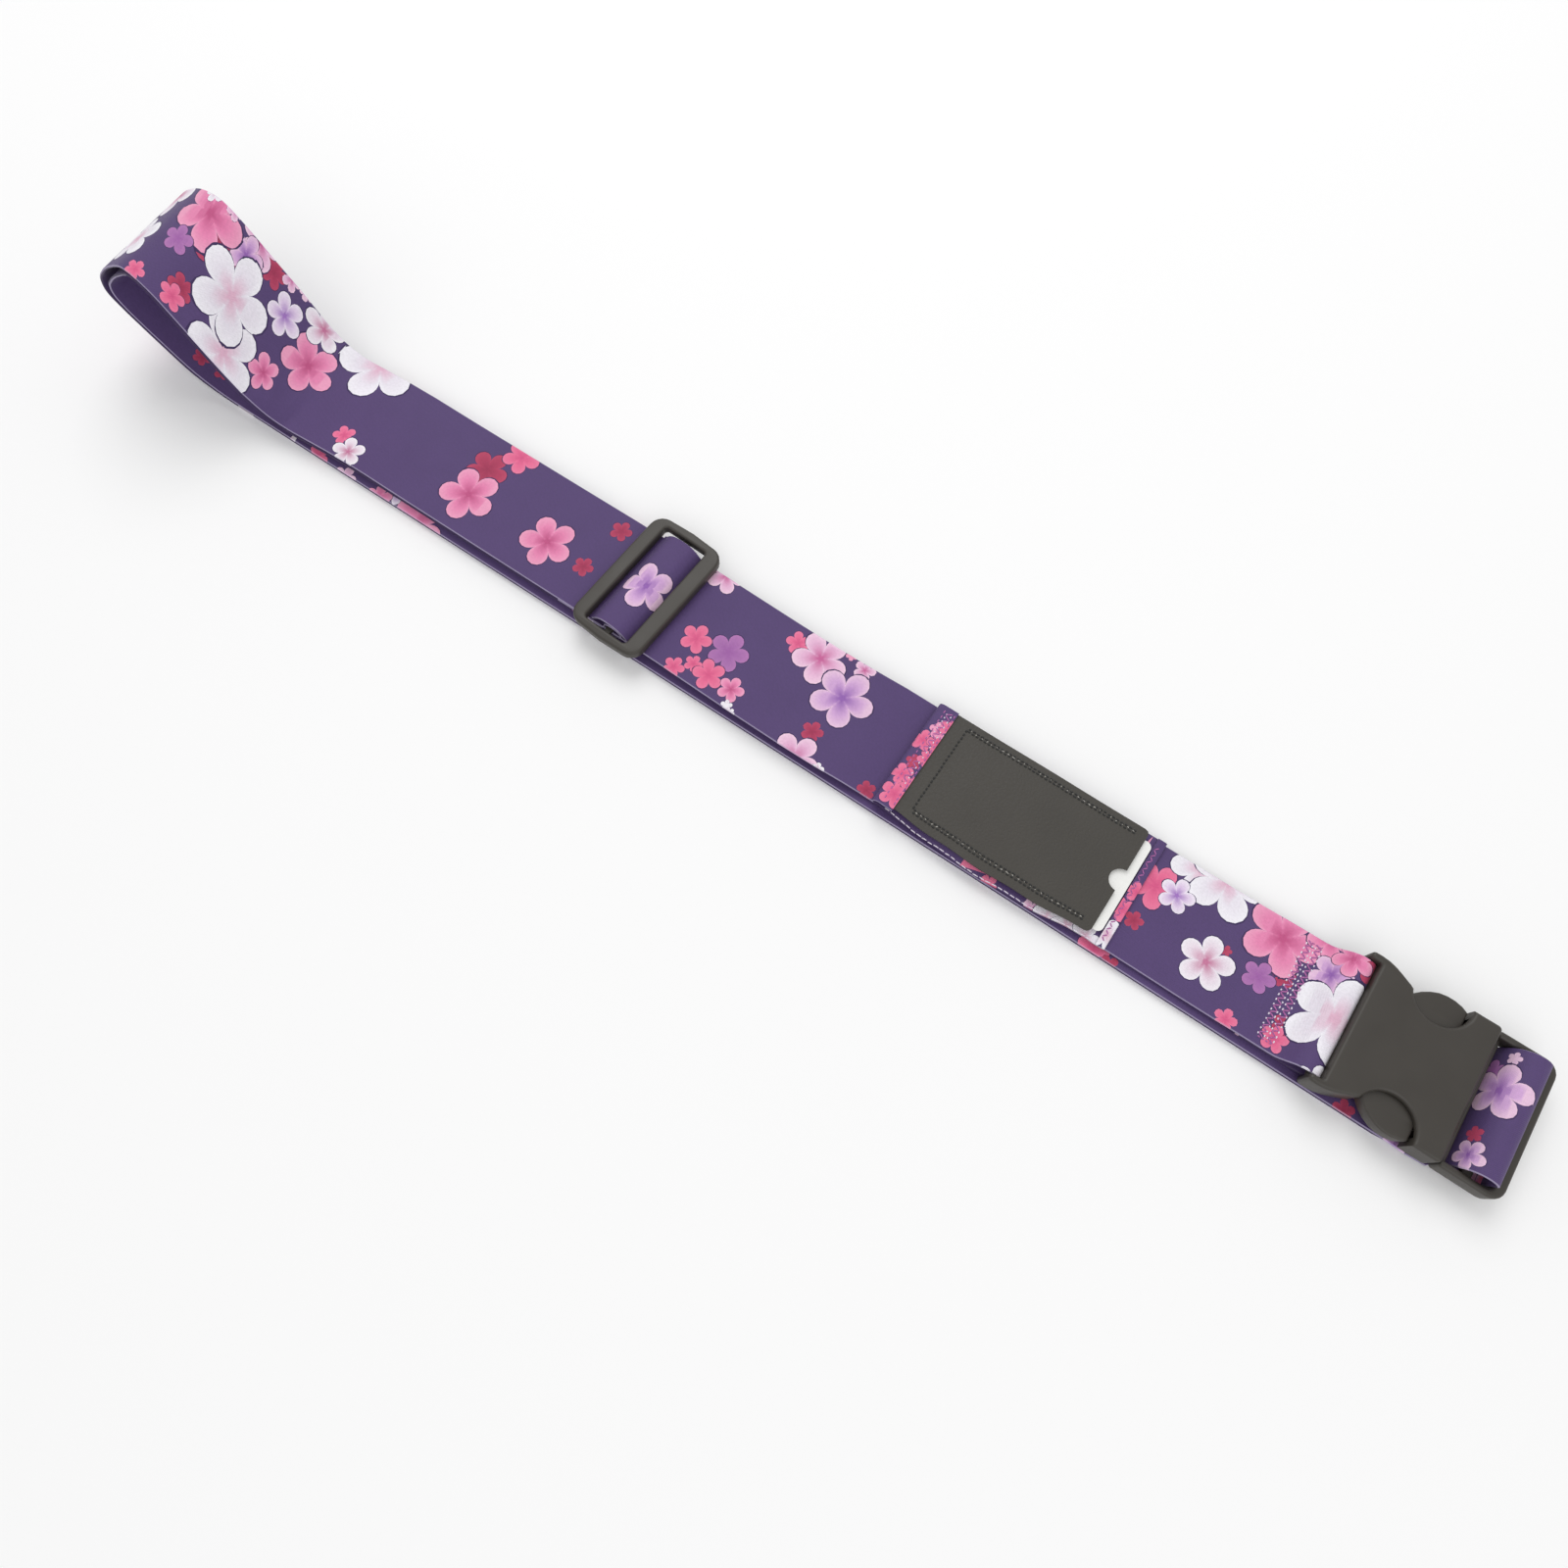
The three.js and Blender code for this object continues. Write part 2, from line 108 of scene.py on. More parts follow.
class Route:
    """A webbing centre-line, with its length, its points and the normal of its printed side."""

    def __init__(self, points, print_side):
        self.points = smooth_route(points)
        steps = np.linalg.norm(np.diff(self.points, axis=0), axis=1)
        self.distance = np.concatenate(([0], np.cumsum(steps)))
        self.length = self.distance[-1]
        tangent = np.gradient(self.points, axis=0)
        normal = np.stack([tangent[:, 2], 0 * tangent[:, 0], -tangent[:, 0]], axis=1) * print_side
        self.normals = normal / np.linalg.norm(normal, axis=1)[:, None]

    def at(self, s):
        """The point and the normal at a distance along the route."""
        point = np.array([np.interp(s, self.distance, self.points[:, k]) for k in range(3)])
        normal = np.array([np.interp(s, self.distance, self.normals[:, k]) for k in range(3)])
        return point, normal / np.linalg.norm(normal, axis=0)

    def stations(self, turn=math.radians(7), longest=0.03):
        """Distances at which the mesh needs a line across: close together where the route bends."""
        angles = np.unwrap(np.arctan2(self.normals[:, 2], self.normals[:, 0]))
        turned = np.concatenate(([0], np.cumsum(np.abs(np.diff(angles)))))
        load = turned / turn + self.distance / longest
        count = int(math.ceil(load[-1]))
        return np.interp(np.linspace(0, load[-1], count + 1), load, self.distance)


# ---- printed webbing ----
NOTCH = 0.42                           # share of the radius that is left at a notch between petals
ROUNDNESS = 0.5                        # smaller makes the petals broader at their tips
RINGS = (0.1, 0.32, 0.6, 0.955, 1.0)   # shares of the radius at which the mesh follows the outline
RIM = RINGS[-2]                        # outside this share of a blossom lies its dark outline
FINE_PETAL = (0, 11, 20, 27, 31.5, 34.3, 35.6)   # degrees from a petal's axis to each outline point
COARSE_PETAL = (0, 17, 28, 34.3)
FINE_FROM = 5 * MM                     # radius from which a blossom takes the fine outline
ALL_RINGS_FROM = 4 * MM                # radius from which a blossom takes every ring


def petal_reach(angle):
    """How far a blossom of radius 1 reaches at an angle from its first petal's axis."""
    off_axis = abs((angle + math.pi / 5) % (2 * math.pi / 5) - math.pi / 5)
    return NOTCH + (1 - NOTCH) * max(math.cos(2.5 * off_axis), 0.0) ** ROUNDNESS


class Blossom:
    """A five-petalled flower on flat webbing, s along it and w across, made from millimetres."""

    def __init__(self, s, w, size, kind, turn=0):
        self.s, self.w, self.radius, self.kind = s * MM, w * MM, size * MM / 2, kind
        self.turn = math.radians(turn)

    def ring(self, share):
        """The outline shrunk to a share of its size."""
        half = FINE_PETAL if self.radius > FINE_FROM else COARSE_PETAL
        loop = []
        for petal in range(5):
            for degrees in [-d for d in half[:0:-1]] + list(half) + [36]:
                angle = math.radians(degrees + 72 * petal)
                reach = self.radius * share * petal_reach(angle)
                loop.append((self.s + reach * math.cos(angle + self.turn),
                             self.w + reach * math.sin(angle + self.turn)))
        return loop

    def share(self, s, w):
        """0 at the centre, 1 on the outline."""
        away = math.hypot(s - self.s, w - self.w)
        return away / (self.radius * petal_reach(math.atan2(w - self.w, s - self.s) - self.turn))

    def shade(self, share):
        """The colour at a share of the way out."""
        centre, middle, rim = BLOSSOMS[self.kind]
        if share < 0.55:
            low, high, mix = centre, middle, max((share - 0.1) / 0.45, 0)
        else:
            low, high, mix = middle, rim, min((share - 0.55) / 0.4, 1)
        return [a + (b - a) * mix for a, b in zip(low, high)]


def lay_out(outline, lines, inside, loops=()):
    """A flat pattern: the triangles within an outline, which follow every given line and loop."""
    points = []
    edges = []

    def add_line(line, closed=False):
        first = len(points)
        points.extend(line)
        edges.extend((i, i + 1) for i in range(first, len(points) - 1))
        if closed:
            edges.append((len(points) - 1, first))

    add_line(outline, closed=True)
    for line in lines:
        add_line(line)
    for loop in loops:
        add_line(loop, closed=True)
    found = delaunay_2d_cdt([Vector(p) for p in points], edges, [], 0, 1e-7)
    spots = [(p.x, p.y) for p in found[0]]
    kept, places, faces = {}, [], []
    for face in found[2]:
        if not inside(sum(spots[i][0] for i in face) / 3, sum(spots[i][1] for i in face) / 3):
            continue
        for i in face:
            if i not in kept:
                kept[i] = len(places)
                places.append(spots[i])
        faces.append([kept[i] for i in face])
    return places, faces


def face_colours(places, faces, blossoms):
    """Each corner's colour, from the uppermost blossom that the face lies in."""
    spans = [(b.s - b.radius, b.s + b.radius) for b in blossoms]
    shades = []
    for face in faces:
        s = sum(places[i][0] for i in face) / 3
        w = sum(places[i][1] for i in face) / 3
        corners = [GROUND] * 3
        for blossom, (low, high) in zip(reversed(blossoms), reversed(spans)):
            if not low < s < high:
                continue
            share = blossom.share(s, w)
            if share < 1:
                if share > RIM:
                    corners = [OUTLINE] * 3
                else:
                    corners = [blossom.shade(min(blossom.share(*places[i]), RIM)) for i in face]
                break
        shades.append(corners)
    return shades


def turns_left(a, b, c):
    return (b[0] - a[0]) * (c[1] - a[1]) - (c[0] - a[0]) * (b[1] - a[1]) > 0


def slab(name, layout, put, material, paints=None, angle=50):
    """A closed sheet: the layout as upper and under face, joined round the rim through a middle ring.

    put(place, level) gives a point in space. The level is 1 on the upper face, 0 halfway through and
    -1 on the under face.
    """
    places, faces = layout
    points, polygons, shades = [], [], []
    for level in (1, -1):
        first = len(points)
        points.extend(put(place, level) for place in places)
        for k, face in enumerate(faces):
            facing_up = turns_left(*(places[i] for i in face))
            order = [0, 1, 2] if facing_up == (level > 0) else [2, 1, 0]
            polygons.append([first + face[i] for i in order])
            if paints:
                shades.append([paints[level < 0][k][i] for i in order])

    # The rim is made of the edges that only one face uses.
    uses = {}
    for k, face in enumerate(faces):
        for i in range(3):
            a, b, third = face[i], face[(i + 1) % 3], face[i - 1]
            uses.setdefault(frozenset((a, b)), []).append((a, b, third, k, i))
    middles = {}

    def middle(i):
        if i not in middles:
            middles[i] = len(points)
            points.append(put(places[i], 0))
        return middles[i]

    for used in uses.values():
        if len(used) > 1:
            continue
        a, b, third, k, i = used[0]
        turned = not turns_left(places[a], places[b], places[third])
        if turned:
            a, b = b, a
        polygons.append([middle(a), middle(b), b, a])
        polygons.append([len(places) + a, len(places) + b, middle(b), middle(a)])
        if paints:
            # Round the rim, the upper half takes the pale selvedge colour, partly paler yarn and
            # partly a painted highlight; the lower half is darkened to half as painted shade.
            near = [paints[0][k][i], paints[0][k][(i + 1) % 3]][::-1 if turned else 1]
            pale = [[0.55 * c + 0.45 * e for c, e in zip(shade, SELVEDGE_AND_HIGHLIGHT)] for shade in near]
            painted_shade = [[0.5 * c for c in shade[:3]] + [1.0] for shade in near]
            shades.append([pale[0], pale[1], pale[1], pale[0]])
            shades.append([painted_shade[0], painted_shade[1], painted_shade[1], painted_shade[0]])

    mesh = bpy.data.meshes.new(name)
    mesh.from_pydata([tuple(p) for p in points], [], polygons)
    if paints:
        paint = mesh.attributes.new("print", "FLOAT_COLOR", "CORNER")
        paint.data.foreach_set("color", [c for corners in shades for one in corners for c in one])
        run = mesh.attributes.new("along", "FLOAT_VECTOR", "POINT")
        spots = places + places + [places[i] for i in middles]
        run.data.foreach_set("vector", [c for x, y in spots for c in (x, y, 0)])
    return finished(name, mesh, material, angle)


def printed_webbing(name, route, blossoms, width=WEBBING_WIDTH, thickness=WEBBING_THICKNESS,
                    under=None, place=None, turn=7):
    """Webbing along a route, with the print on its faces and a rounded selvedge: paler on its upper
    half, from paler yarn and a painted highlight, and darkened on its lower half as painted shade.

    under lists the blossoms of the under face, if they differ. place(point) may move a point. turn is
    the bend, in degrees, between two lines of the mesh across the webbing.
    """
    half = thickness * MM / 2
    edge = thickness * MM * 0.3
    side = width * MM / 2 - edge
    length = route.length
    loops = [b.ring(share) for b in blossoms
             for share in (RINGS if b.radius > ALL_RINGS_FROM else RINGS[-2:])]
    layout = lay_out(
        [(0, -side), (length, -side), (length, side), (0, side)],
        [[(s, -side), (s, side)] for s in route.stations(turn=math.radians(turn))[1:-1]],
        inside=lambda s, w: 0 < s < length and abs(w) < side, loops=loops)
    under = blossoms if under is None else under
    paints = [face_colours(*layout, marks) for marks in (blossoms, under)]

    def put(spot, level):
        s, w = spot
        if level == 0 and abs(abs(w) - side) < 1e-6:
            w += math.copysign(edge, w)
        middle, normal = route.at(s)
        point = middle + normal * half * level + np.array([0, w, 0])
        return place(point) if place else point

    return slab(name, layout, put, "webbing", paints)


def finished(name, mesh, material, angle=35):
    """Consistent normals, shading that is smooth up to an angle, a material and an object."""
    mesh.validate()
    shell = bmesh.new()
    shell.from_mesh(mesh)
    bmesh.ops.dissolve_degenerate(shell, dist=1e-7, edges=shell.edges)
    bmesh.ops.recalc_face_normals(shell, faces=shell.faces)
    for face in shell.faces:
        face.smooth = True
    for one in shell.edges:
        if one.is_manifold and one.calc_face_angle(0) > math.radians(angle):
            one.smooth = False
    shell.to_mesh(mesh)
    shell.free()
    piece = bpy.data.objects.new(name, mesh)
    bpy.context.scene.collection.objects.link(piece)
    mesh.materials.append(MATERIALS[material])
    return piece


# ---- materials ----
def new_material(name, base, roughness, specular=0.5, sheen=0.0, sheen_roughness=0.5, coat=0.0):
    made = bpy.data.materials.new(name)
    made.use_nodes = True
    shader = made.node_tree.nodes["Principled BSDF"]
    shader.inputs["Base Color"].default_value = base
    shader.inputs["Roughness"].default_value = roughness
    shader.inputs["Specular IOR Level"].default_value = specular
    shader.inputs["Sheen Weight"].default_value = sheen
    shader.inputs["Sheen Roughness"].default_value = sheen_roughness
    shader.inputs["Coat Weight"].default_value = coat
    return made, made.node_tree, shader


def node(tree, kind, links=(), **settings):
    """A node with its settings, and its inputs either linked or set."""
    made = tree.nodes.new(kind)
    for key, value in settings.items():
        setattr(made, key, value)
    for socket, value in dict(links).items():
        if isinstance(value, bpy.types.NodeSocket):
            tree.links.new(value, made.inputs[socket])
        else:
            made.inputs[socket].default_value = value
    return made


def maths(tree, operation, a, b=0.0):
    return node(tree, "ShaderNodeMath", {0: a, 1: b}, operation=operation).outputs[0]


def mapped(tree, value, factor, offset):
    """value * factor + offset"""
    return maths(tree, "ADD", maths(tree, "MULTIPLY", value, factor), offset)


def mixed(tree, blend, factor, a, b):
    made = node(tree, "ShaderNodeMix", {0: factor, 6: a, 7: b}, data_type="RGBA", blend_type=blend)
    return made.outputs[2]


def tinted(tree, shader, base, shade):
    """The base colour, darkened by a shade from 0 to 1."""
    grey = node(tree, "ShaderNodeCombineColor", {0: shade, 1: shade, 2: shade}).outputs[0]
    tree.links.new(mixed(tree, "MULTIPLY", 1.0, base, grey), shader.inputs["Base Color"])


def bumped(tree, shader, height, distance, strength):
    made = node(tree, "ShaderNodeBump",
                {"Height": height, "Distance": distance, "Strength": strength})
    tree.links.new(made.outputs[0], shader.inputs["Normal"])


def in_object(tree):
    return tree.nodes.new("ShaderNodeTexCoord").outputs["Object"]


def noise(tree, scale, detail, vector=None):
    vector = in_object(tree) if vector is None else vector
    links = {"Scale": scale, "Detail": detail, "Roughness": 0.5, "Vector": vector}
    return node(tree, "ShaderNodeTexNoise", links).outputs[0]


def woven_material(name, warp=0.95, weft=0.62):
    """Printed polyester webbing: fine ribs along it crossed by finer threads, with a soft sheen."""
    made, tree, shader = new_material(name, GROUND, 0.62, specular=0.3, sheen=0.1,
                                      sheen_roughness=0.4)
    paint = node(tree, "ShaderNodeAttribute", attribute_name="print").outputs["Color"]
    run = node(tree, "ShaderNodeAttribute", attribute_name="along").outputs["Vector"]
    apart = node(tree, "ShaderNodeSeparateXYZ", {0: run})
    s, w = apart.outputs[0], apart.outputs[1]
    turn = 2 * math.pi / MM
    ribs = maths(tree, "SINE", maths(tree, "MULTIPLY", w, turn / warp))
    threads = maths(tree, "SINE", maths(tree, "MULTIPLY", s, turn / weft))
    weave = maths(tree, "MULTIPLY", ribs, threads)
    speckle = noise(tree, 900, 2.0, vector=run)
    patches = noise(tree, 60, 3.0, vector=run)
    shade = mapped(tree, speckle, 0.24, mapped(tree, weave, 0.05, 0.82))
    tinted(tree, shader, paint, mapped(tree, patches, 0.16, shade))
    bumped(tree, shader, mapped(tree, speckle, 0.8, weave), 0.06 * MM, 0.7)
    tree.links.new(mapped(tree, speckle, 0.2, 0.5), shader.inputs["Roughness"])
    return made


def plastic_material(name):
    """Moulded acetal: a satin skin with a very fine spark-eroded grain and slow changes of gloss."""
    made, tree, shader = new_material(name, colour(58, 54, 49), 0.42, specular=0.45)
    slow = noise(tree, 70, 4.0)
    tinted(tree, shader, colour(60, 56, 51), mapped(tree, slow, 0.25, 0.88))
    tree.links.new(mapped(tree, slow, 0.2, 0.34), shader.inputs["Roughness"])
    bumped(tree, shader, noise(tree, 2600, 2.0), 0.03 * MM, 0.6)
    return made


def leather_material(name):
    """Coated fabric with a pebbled grain."""
    made, tree, shader = new_material(name, colour(72, 69, 63), 0.55, specular=0.4)
    pebbles = node(tree, "ShaderNodeTexVoronoi", {"Vector": in_object(tree), "Scale": 1100.0},
                   feature="SMOOTH_F1").outputs["Distance"]
    bumped(tree, shader, mapped(tree, noise(tree, 2400, 3.0), 0.5, pebbles), 0.12 * MM, 0.8)
    shade = mapped(tree, pebbles, 0.25, mapped(tree, noise(tree, 45, 4.0), 0.3, 0.72))
    tinted(tree, shader, colour(66, 63, 58), shade)
    tree.links.new(mapped(tree, pebbles, 0.3, 0.42), shader.inputs["Roughness"])
    return made


def card_material(name):
    """Plain white card with faint fibres."""
    made, tree, shader = new_material(name, colour(240, 240, 238), 0.6, specular=0.3)
    fibres = noise(tree, 700, 4.0)
    tinted(tree, shader, colour(243, 243, 240), mapped(tree, fibres, 0.08, 0.93))
    bumped(tree, shader, fibres, 0.05 * MM, 0.5)
    return made


def thread_material(name, base, light, roughness):
    """Twisted filament yarn: diagonal plies with a silky shine, the crest of each ply painted in a
    lighter colour as a highlight.
    """
    made, tree, shader = new_material(name, base, roughness, specular=0.5, sheen=0.3)
    plies = node(tree, "ShaderNodeTexWave",
                 {"Vector": in_object(tree), "Scale": 900.0, "Distortion": 1.5},
                 wave_type="BANDS", bands_direction="DIAGONAL").outputs[1]
    # Painted highlight: the base colour turns towards the light colour on each ply's crest, where the
    # bump is highest.
    tree.links.new(mixed(tree, "MIX", plies, base, light), shader.inputs["Base Color"])
    bumped(tree, shader, plies, 0.05 * MM, 0.6)
    return made


MATERIALS = {
    "webbing": woven_material("webbing"),
    "plastic": plastic_material("plastic"),
    "panel": leather_material("panel"),
    "card": card_material("card"),
}
# Each thread: name, base colour, the lighter colour painted on the ply crests as a highlight, and
# roughness.
for thread, base, light, roughness in (
        ("purple_thread", colour(120, 44, 110), colour(206, 120, 190), 0.45),
        ("white_thread", colour(206, 190, 214), colour(250, 246, 252), 0.45),
        ("black_thread", colour(9, 9, 8), colour(26, 25, 23), 0.6),
        # Not a yarn: pale dashes over the pocket's black stitches, painted as glints of light.
        ("painted_glint", colour(120, 117, 110), colour(206, 203, 196), 0.3)):
    MATERIALS[thread] = thread_material(thread, base, light, roughness)


# ---- the webbing's pieces ----
LEAN_FROM_X = -150 * MM      # the fold's side from which the webbing leans
LEAN_FROM_Z = 8 * MM         # height above which it leans,
LEAN_FULL_Z = 20 * MM        # and how much higher the lean is full
LEAN_X = -262 * MM           # where the far side stands highest,
LEAN_REACH = 44 * MM         # how far from there it still does,
LEAN_RISE = 9 * MM           # and by how much
LEAN_OUT = 0.03              # how far the bend leans outwards for each unit of height


def leaned(point):
    """The fold is a little twisted: its far side stands higher, and its bend leans outwards."""
    x, y, z = point
    if x > LEAN_FROM_X:
        return point
    rise = max(z - LEAN_FROM_Z, 0)
    across = y / (WEBBING_WIDTH * MM / 2)
    share = max(1 - ((x - LEAN_X) / LEAN_REACH) ** 2, 0) ** 2 * min(rise / LEAN_FULL_Z, 1)
    return np.array([x - LEAN_OUT * rise * (1 + across), y, z + LEAN_RISE * share * across])


def level(y, points):
    """Points (x, z) at one y."""
    return [(x, y, z) for x, z in points]


# Centre-lines of the webbing's stretches, in millimetres.
EYE = level(0, [
    (237, 3.7), (248, 3.75), (256, 4.1), (262.4, 5), (266.7, 6.7), (267.6, 9.6), (266.2, 12.2),
    (262.4, 13), (259, 11.6), (256, 8.7), (253, 6.3), (250.75, 5.7)])
FRONT = level(0, [
    (249, 5.55), (237, 5.3), (228, 4.65), (216, 4.25), (200, 4.2), (130, 4.2), (74.55, 4.2)])
TOP = [
    (66, -0.3, 5.2), (57, -1, 6.3), (49, -1.4, 6.6), (30, -1.6, 6.6), (5, -1.3, 6.6),
    (-20, -0.7, 6.6), (-37.5, -0.2, 6.6), (-71.6, 0, 6.6), (-110, 0, 6.6), (-150, 0, 6.7),
    (-181, 0, 6.8)]
FOLD_OUTER = [
    (-200, 0, 7.1), (-222, -1, 7.9), (-238, -2.4, 9.6), (-248, -3, 14.6), (-257.5, -3, 26),
    (-267.5, -3, 42.5), (-277, -2.6, 57.6), (-287, -1.6, 65.6), (-300, -0.6, 66.2),
    (-313, -0.4, 60), (-325, -0.9, 51), (-333.4, -1.4, 41.5), (-335.2, -1.8, 34),
    (-330, -2.2, 27.8), (-321, -2.6, 20.5), (-311, -2.9, 12.5), (-301, -3, 5.2), (-290, -3, 2),
    (-279, -3, 1), (-268, -3, 0.72), (-255, -3, 0.63), (-240, -3, 0.6)]
LOWER_OUTER = level(LOWER_RUN_Y, [(x, 0.6) for x in (-240, -200, -100, 0, 100, 200, 300, 316.3)])
ROLL = [(x, 0.4, z) for x, z in [
    (319, 0.63), (322, 0.78), (325.8, 1.3), (329.2, 2.9), (331.2, 5.6), (331.7, 9.2),
    (331.8, 11.8), (332.3, 13.6), (332.6, 15.3), (331.5, 16.9), (328.9, 17.8), (325.6, 17.2),
    (322.6, 14.4), (320.6, 9.8), (319.3, 5.2), (318.9, 3.4), (318, 2.3)]]
LOWER_INNER = level(LOWER_RUN_Y, [(x, 2.1) for x in (314.5, 300, 200, 100, 0, -100, -200, -240)])
FOLD_INNER = [
    (-240, -3, 2.1), (-262, -3, 2.15), (-277, -3, 2.6), (-288.5, -3, 4.2), (-299, -3, 8.4),
    (-308.5, -2.9, 15.6), (-318.5, -2.6, 23.4), (-326.4, -2.2, 30), (-329.8, -1.8, 35.4),
    (-328.6, -1.4, 41), (-321.6, -0.9, 48.6), (-310.5, -0.4, 56.8), (-299.8, -0.6, 62.4),
    (-290.2, -1.6, 62), (-281.4, -2.6, 54.8), (-271.4, -3, 39.6), (-261.4, -3, 23.4),
    (-250.8, -3, 11.4), (-240, -2.5, 6.5), (-224, -1.2, 4.9), (-208, -0.3, 4.3), (-192.8, 0, 4)]
TAIL = level(0, [(-160, 3.8), (-120, 3.6), (-84.6, 3.6)])
WRAP = level(0, [
    (-70, 3.6), (-61, 3.6), (-55.5, 3.9), (-52, 5.2), (-50.5, 7.6), (-51, 9.9), (-52.8, 11.2),
    (-56.4, 11.2), (-58.2, 9.9), (-58.9, 7.8), (-60.2, 6.1), (-63.5, 5.1), (-72, 5.1), (-84.6, 5.1)])
HUMP = level(0, [
    (-64.7, 7.95), (-64.2, 8.1), (-63.2, 9), (-61.4, 11.1), (-58.8, 12.8), (-54.6, 13.4),
    (-50.4, 12.8), (-47.8, 11.1), (-46, 9), (-45, 8.1), (-44.5, 7.95)])

# The printed side, unrolled flat: place along X (which runs on past the fold), place across,
# diameter, kind and the direction of one petal. Later blossoms lie over earlier ones.
UPPER_BLOSSOMS = [
    (-81.9, 16.7, 10.6, "crimson", 90), (-84.7, -6.7, 10, "crimson", 85),
    (-105.4, -5.7, 26.4, "pink", -84), (-151, 8.2, 21, "crimson", 75),
    (-142.3, 22, 18.5, "rose", 4), (-149.5, -6.5, 28.6, "pink", -85), (-216, -14, 11, "rose", 60),
    (-208.7, -19.9, 16, "white", 43), (-30.8, 25.2, 18.4, "blush", -54),
    (-8.9, -3.6, 19, "violet", 90), (-23.8, -6.5, 14.7, "rose", 90),
    (-23.8, -22.4, 10.2, "rose", 90), (-17.9, -16.5, 8.4, "rose", 20),
    (-9.7, -16.7, 15, "rose", -90), (1.9, -16.7, 12.4, "pink", 90), (4.6, -23.6, 5.4, "white", 40),
    (7.7, -25.4, 4.4, "white", 10), (12.8, 17, 11.5, "rose", 50), (34.6, 25, 5.4, "pink", 0),
    (42.8, 22.2, 10, "blush", 90), (24.6, 16.4, 25.6, "blush", -77), (42.1, 6.4, 28.4, "lilac", 4),
    (40.3, -13, 10, "crimson", 20), (40.3, -26.8, 23.4, "blush", 72), (51, -25.6, 6, "white", 30),
    (72, -22.4, 8.4, "crimson", 50), (186.3, 8.3, 21, "rose", -75),
    (186, -8.6, 8.2, "crimson", 90), (198, 24, 25, "snow", 200), (209, 25.5, 34, "snow", -54),
    (195, 9.5, 15.4, "frost", 15), (220.6, 0.8, 4.8, "crimson", 90),
    (216.2, -7.4, 23.2, "white", 22), (242.5, 4, 10, "crimson", 40), (236, 17, 32, "pink", -64),
    (235, -1.5, 13.6, "violet", 9), (251.5, 27, 20, "pink", -72), (231.9, -23, 9.6, "rose", 90),
    (250.4, -13, 9, "crimson", 80), (250, -19.2, 11.6, "rose", 90),
    (257.5, 13.2, 18, "lilac", 140), (270, 22, 14, "crimson", 30), (262, 22, 16, "pink", 200),
    (269.5, -29, 18, "snow", 90), (265.4, -2.8, 37, "snow", 79), (-227.2, 24.5, 39, "snow", -92),
    (-250.8, 4.5, 27, "pink", -86), (-254.5, 21.4, 18.5, "white", -36),
    (-265, -12, 16.5, "pink", 48), (-281, 21, 13, "crimson", 15), (-304, 10.7, 24, "crimson", 20),
    (-308, -14, 11, "crimson", 50), (-266, 26, 7, "blush", 60), (-273.5, 25, 10, "blush", 10),
    (-291, 25, 21, "blush", -50), (-294, 16.4, 17, "lilac", 160), (-314, 17.5, 33, "pink", -70),
    (-306, 26, 9, "blush", 0), (-318, 26, 10, "snow", 50), (-318.5, 0.1, 13.6, "violet", 100),
    (-324, -22, 9.4, "rose", 80), (-308.8, -19.2, 10.6, "rose", 95),
    (-283.5, -18.6, 34, "snow", 55), (-291, 0.1, 37, "snow", 80), (-269, 12, 18, "frost", 54),
    (-342, -7.5, 29, "snow", 36), (-346, 21, 30, "white", 0)]
# Over the plug's bar and back along the strap: distance past the highest place, the rest as above.
ROLL_BLOSSOMS = [
    (10, -11.5, 7, "crimson", 0), (8, 20.5, 5.6, "lilac", 30), (14, 14, 11, "violet", 10),
    (8.4, 7, 23, "lilac", 24), (9, -19.6, 13, "lilac", 50), (161, -24, 14, "rose", 10),
    (153, -26, 9, "crimson", 40), (57, -24, 9, "crimson", 0), (37, -25, 9, "lilac", 20),
    (525, -26, 14, "pink", 0), (545, -27, 13, "blush", 20), (563, -25, 13, "rose", 40),
    (581, -26, 10, "white", 0), (-18, 16, 9, "crimson", 0), (-20, -12, 14, "lilac", 10)]
# The tag's tape: its left hem, its near edge, and its right hem from the start of that hem.
HEM_BLOSSOMS = [
    (3, -19, 13, "rose", 20), (5, -10, 10, "rose", 60), (0, -12, 8, "rose", 30),
    (4, -3, 7, "crimson", 0), (0, 1, 9, "rose", 40), (6, 7, 10, "rose", 10),
    (0, 9, 10, "rose", 55), (3, 14, 8, "pink", 70), (0, 17, 8, "rose", 20)]
TAPE_EDGE_BLOSSOMS = [
    (66, -26, 8, "rose", 0), (85, -26, 9, "blush", 0), (91, -25.5, 12, "snow", 20),
    (99, -25, 13, "snow", 50), (107, -25, 13, "snow", 10)]
END_HEM_BLOSSOMS = [
    (2, -20, 14, "snow", 20), (2, -8, 11, "rose", 50), (1, 1, 9, "rose", 0)]


def scattered(start, end, spacing, sizes=(8, 30), clear=()):
    """Seeded blossoms in loose clusters for stretches that lie hidden or face away."""
    kinds = ["white", "frost", "blush", "pink", "rose", "crimson", "lilac", "violet", "pink", "white"]
    found = []
    s = start
    while s < end:
        w = random.uniform(-24, 24)
        for _ in range(random.choice((2, 3, 4))):
            size = random.uniform(*sizes)
            place = (s + random.uniform(-14, 14), w + random.uniform(-13, 13))
            kind, turn = random.choice(kinds), random.uniform(0, 72)
            if not any(low < place[0] < high for low, high in clear):
                found.append(Blossom(*place, size, kind, turn))
        s += spacing * random.uniform(0.7, 1.3)
    return found


def declare(piece, route, *nodes, width=WEBBING_WIDTH):
    """Hides the CAD nodes that a printed piece stands for. The piece, its route and its width are not
    used.
    """
    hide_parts(*nodes)


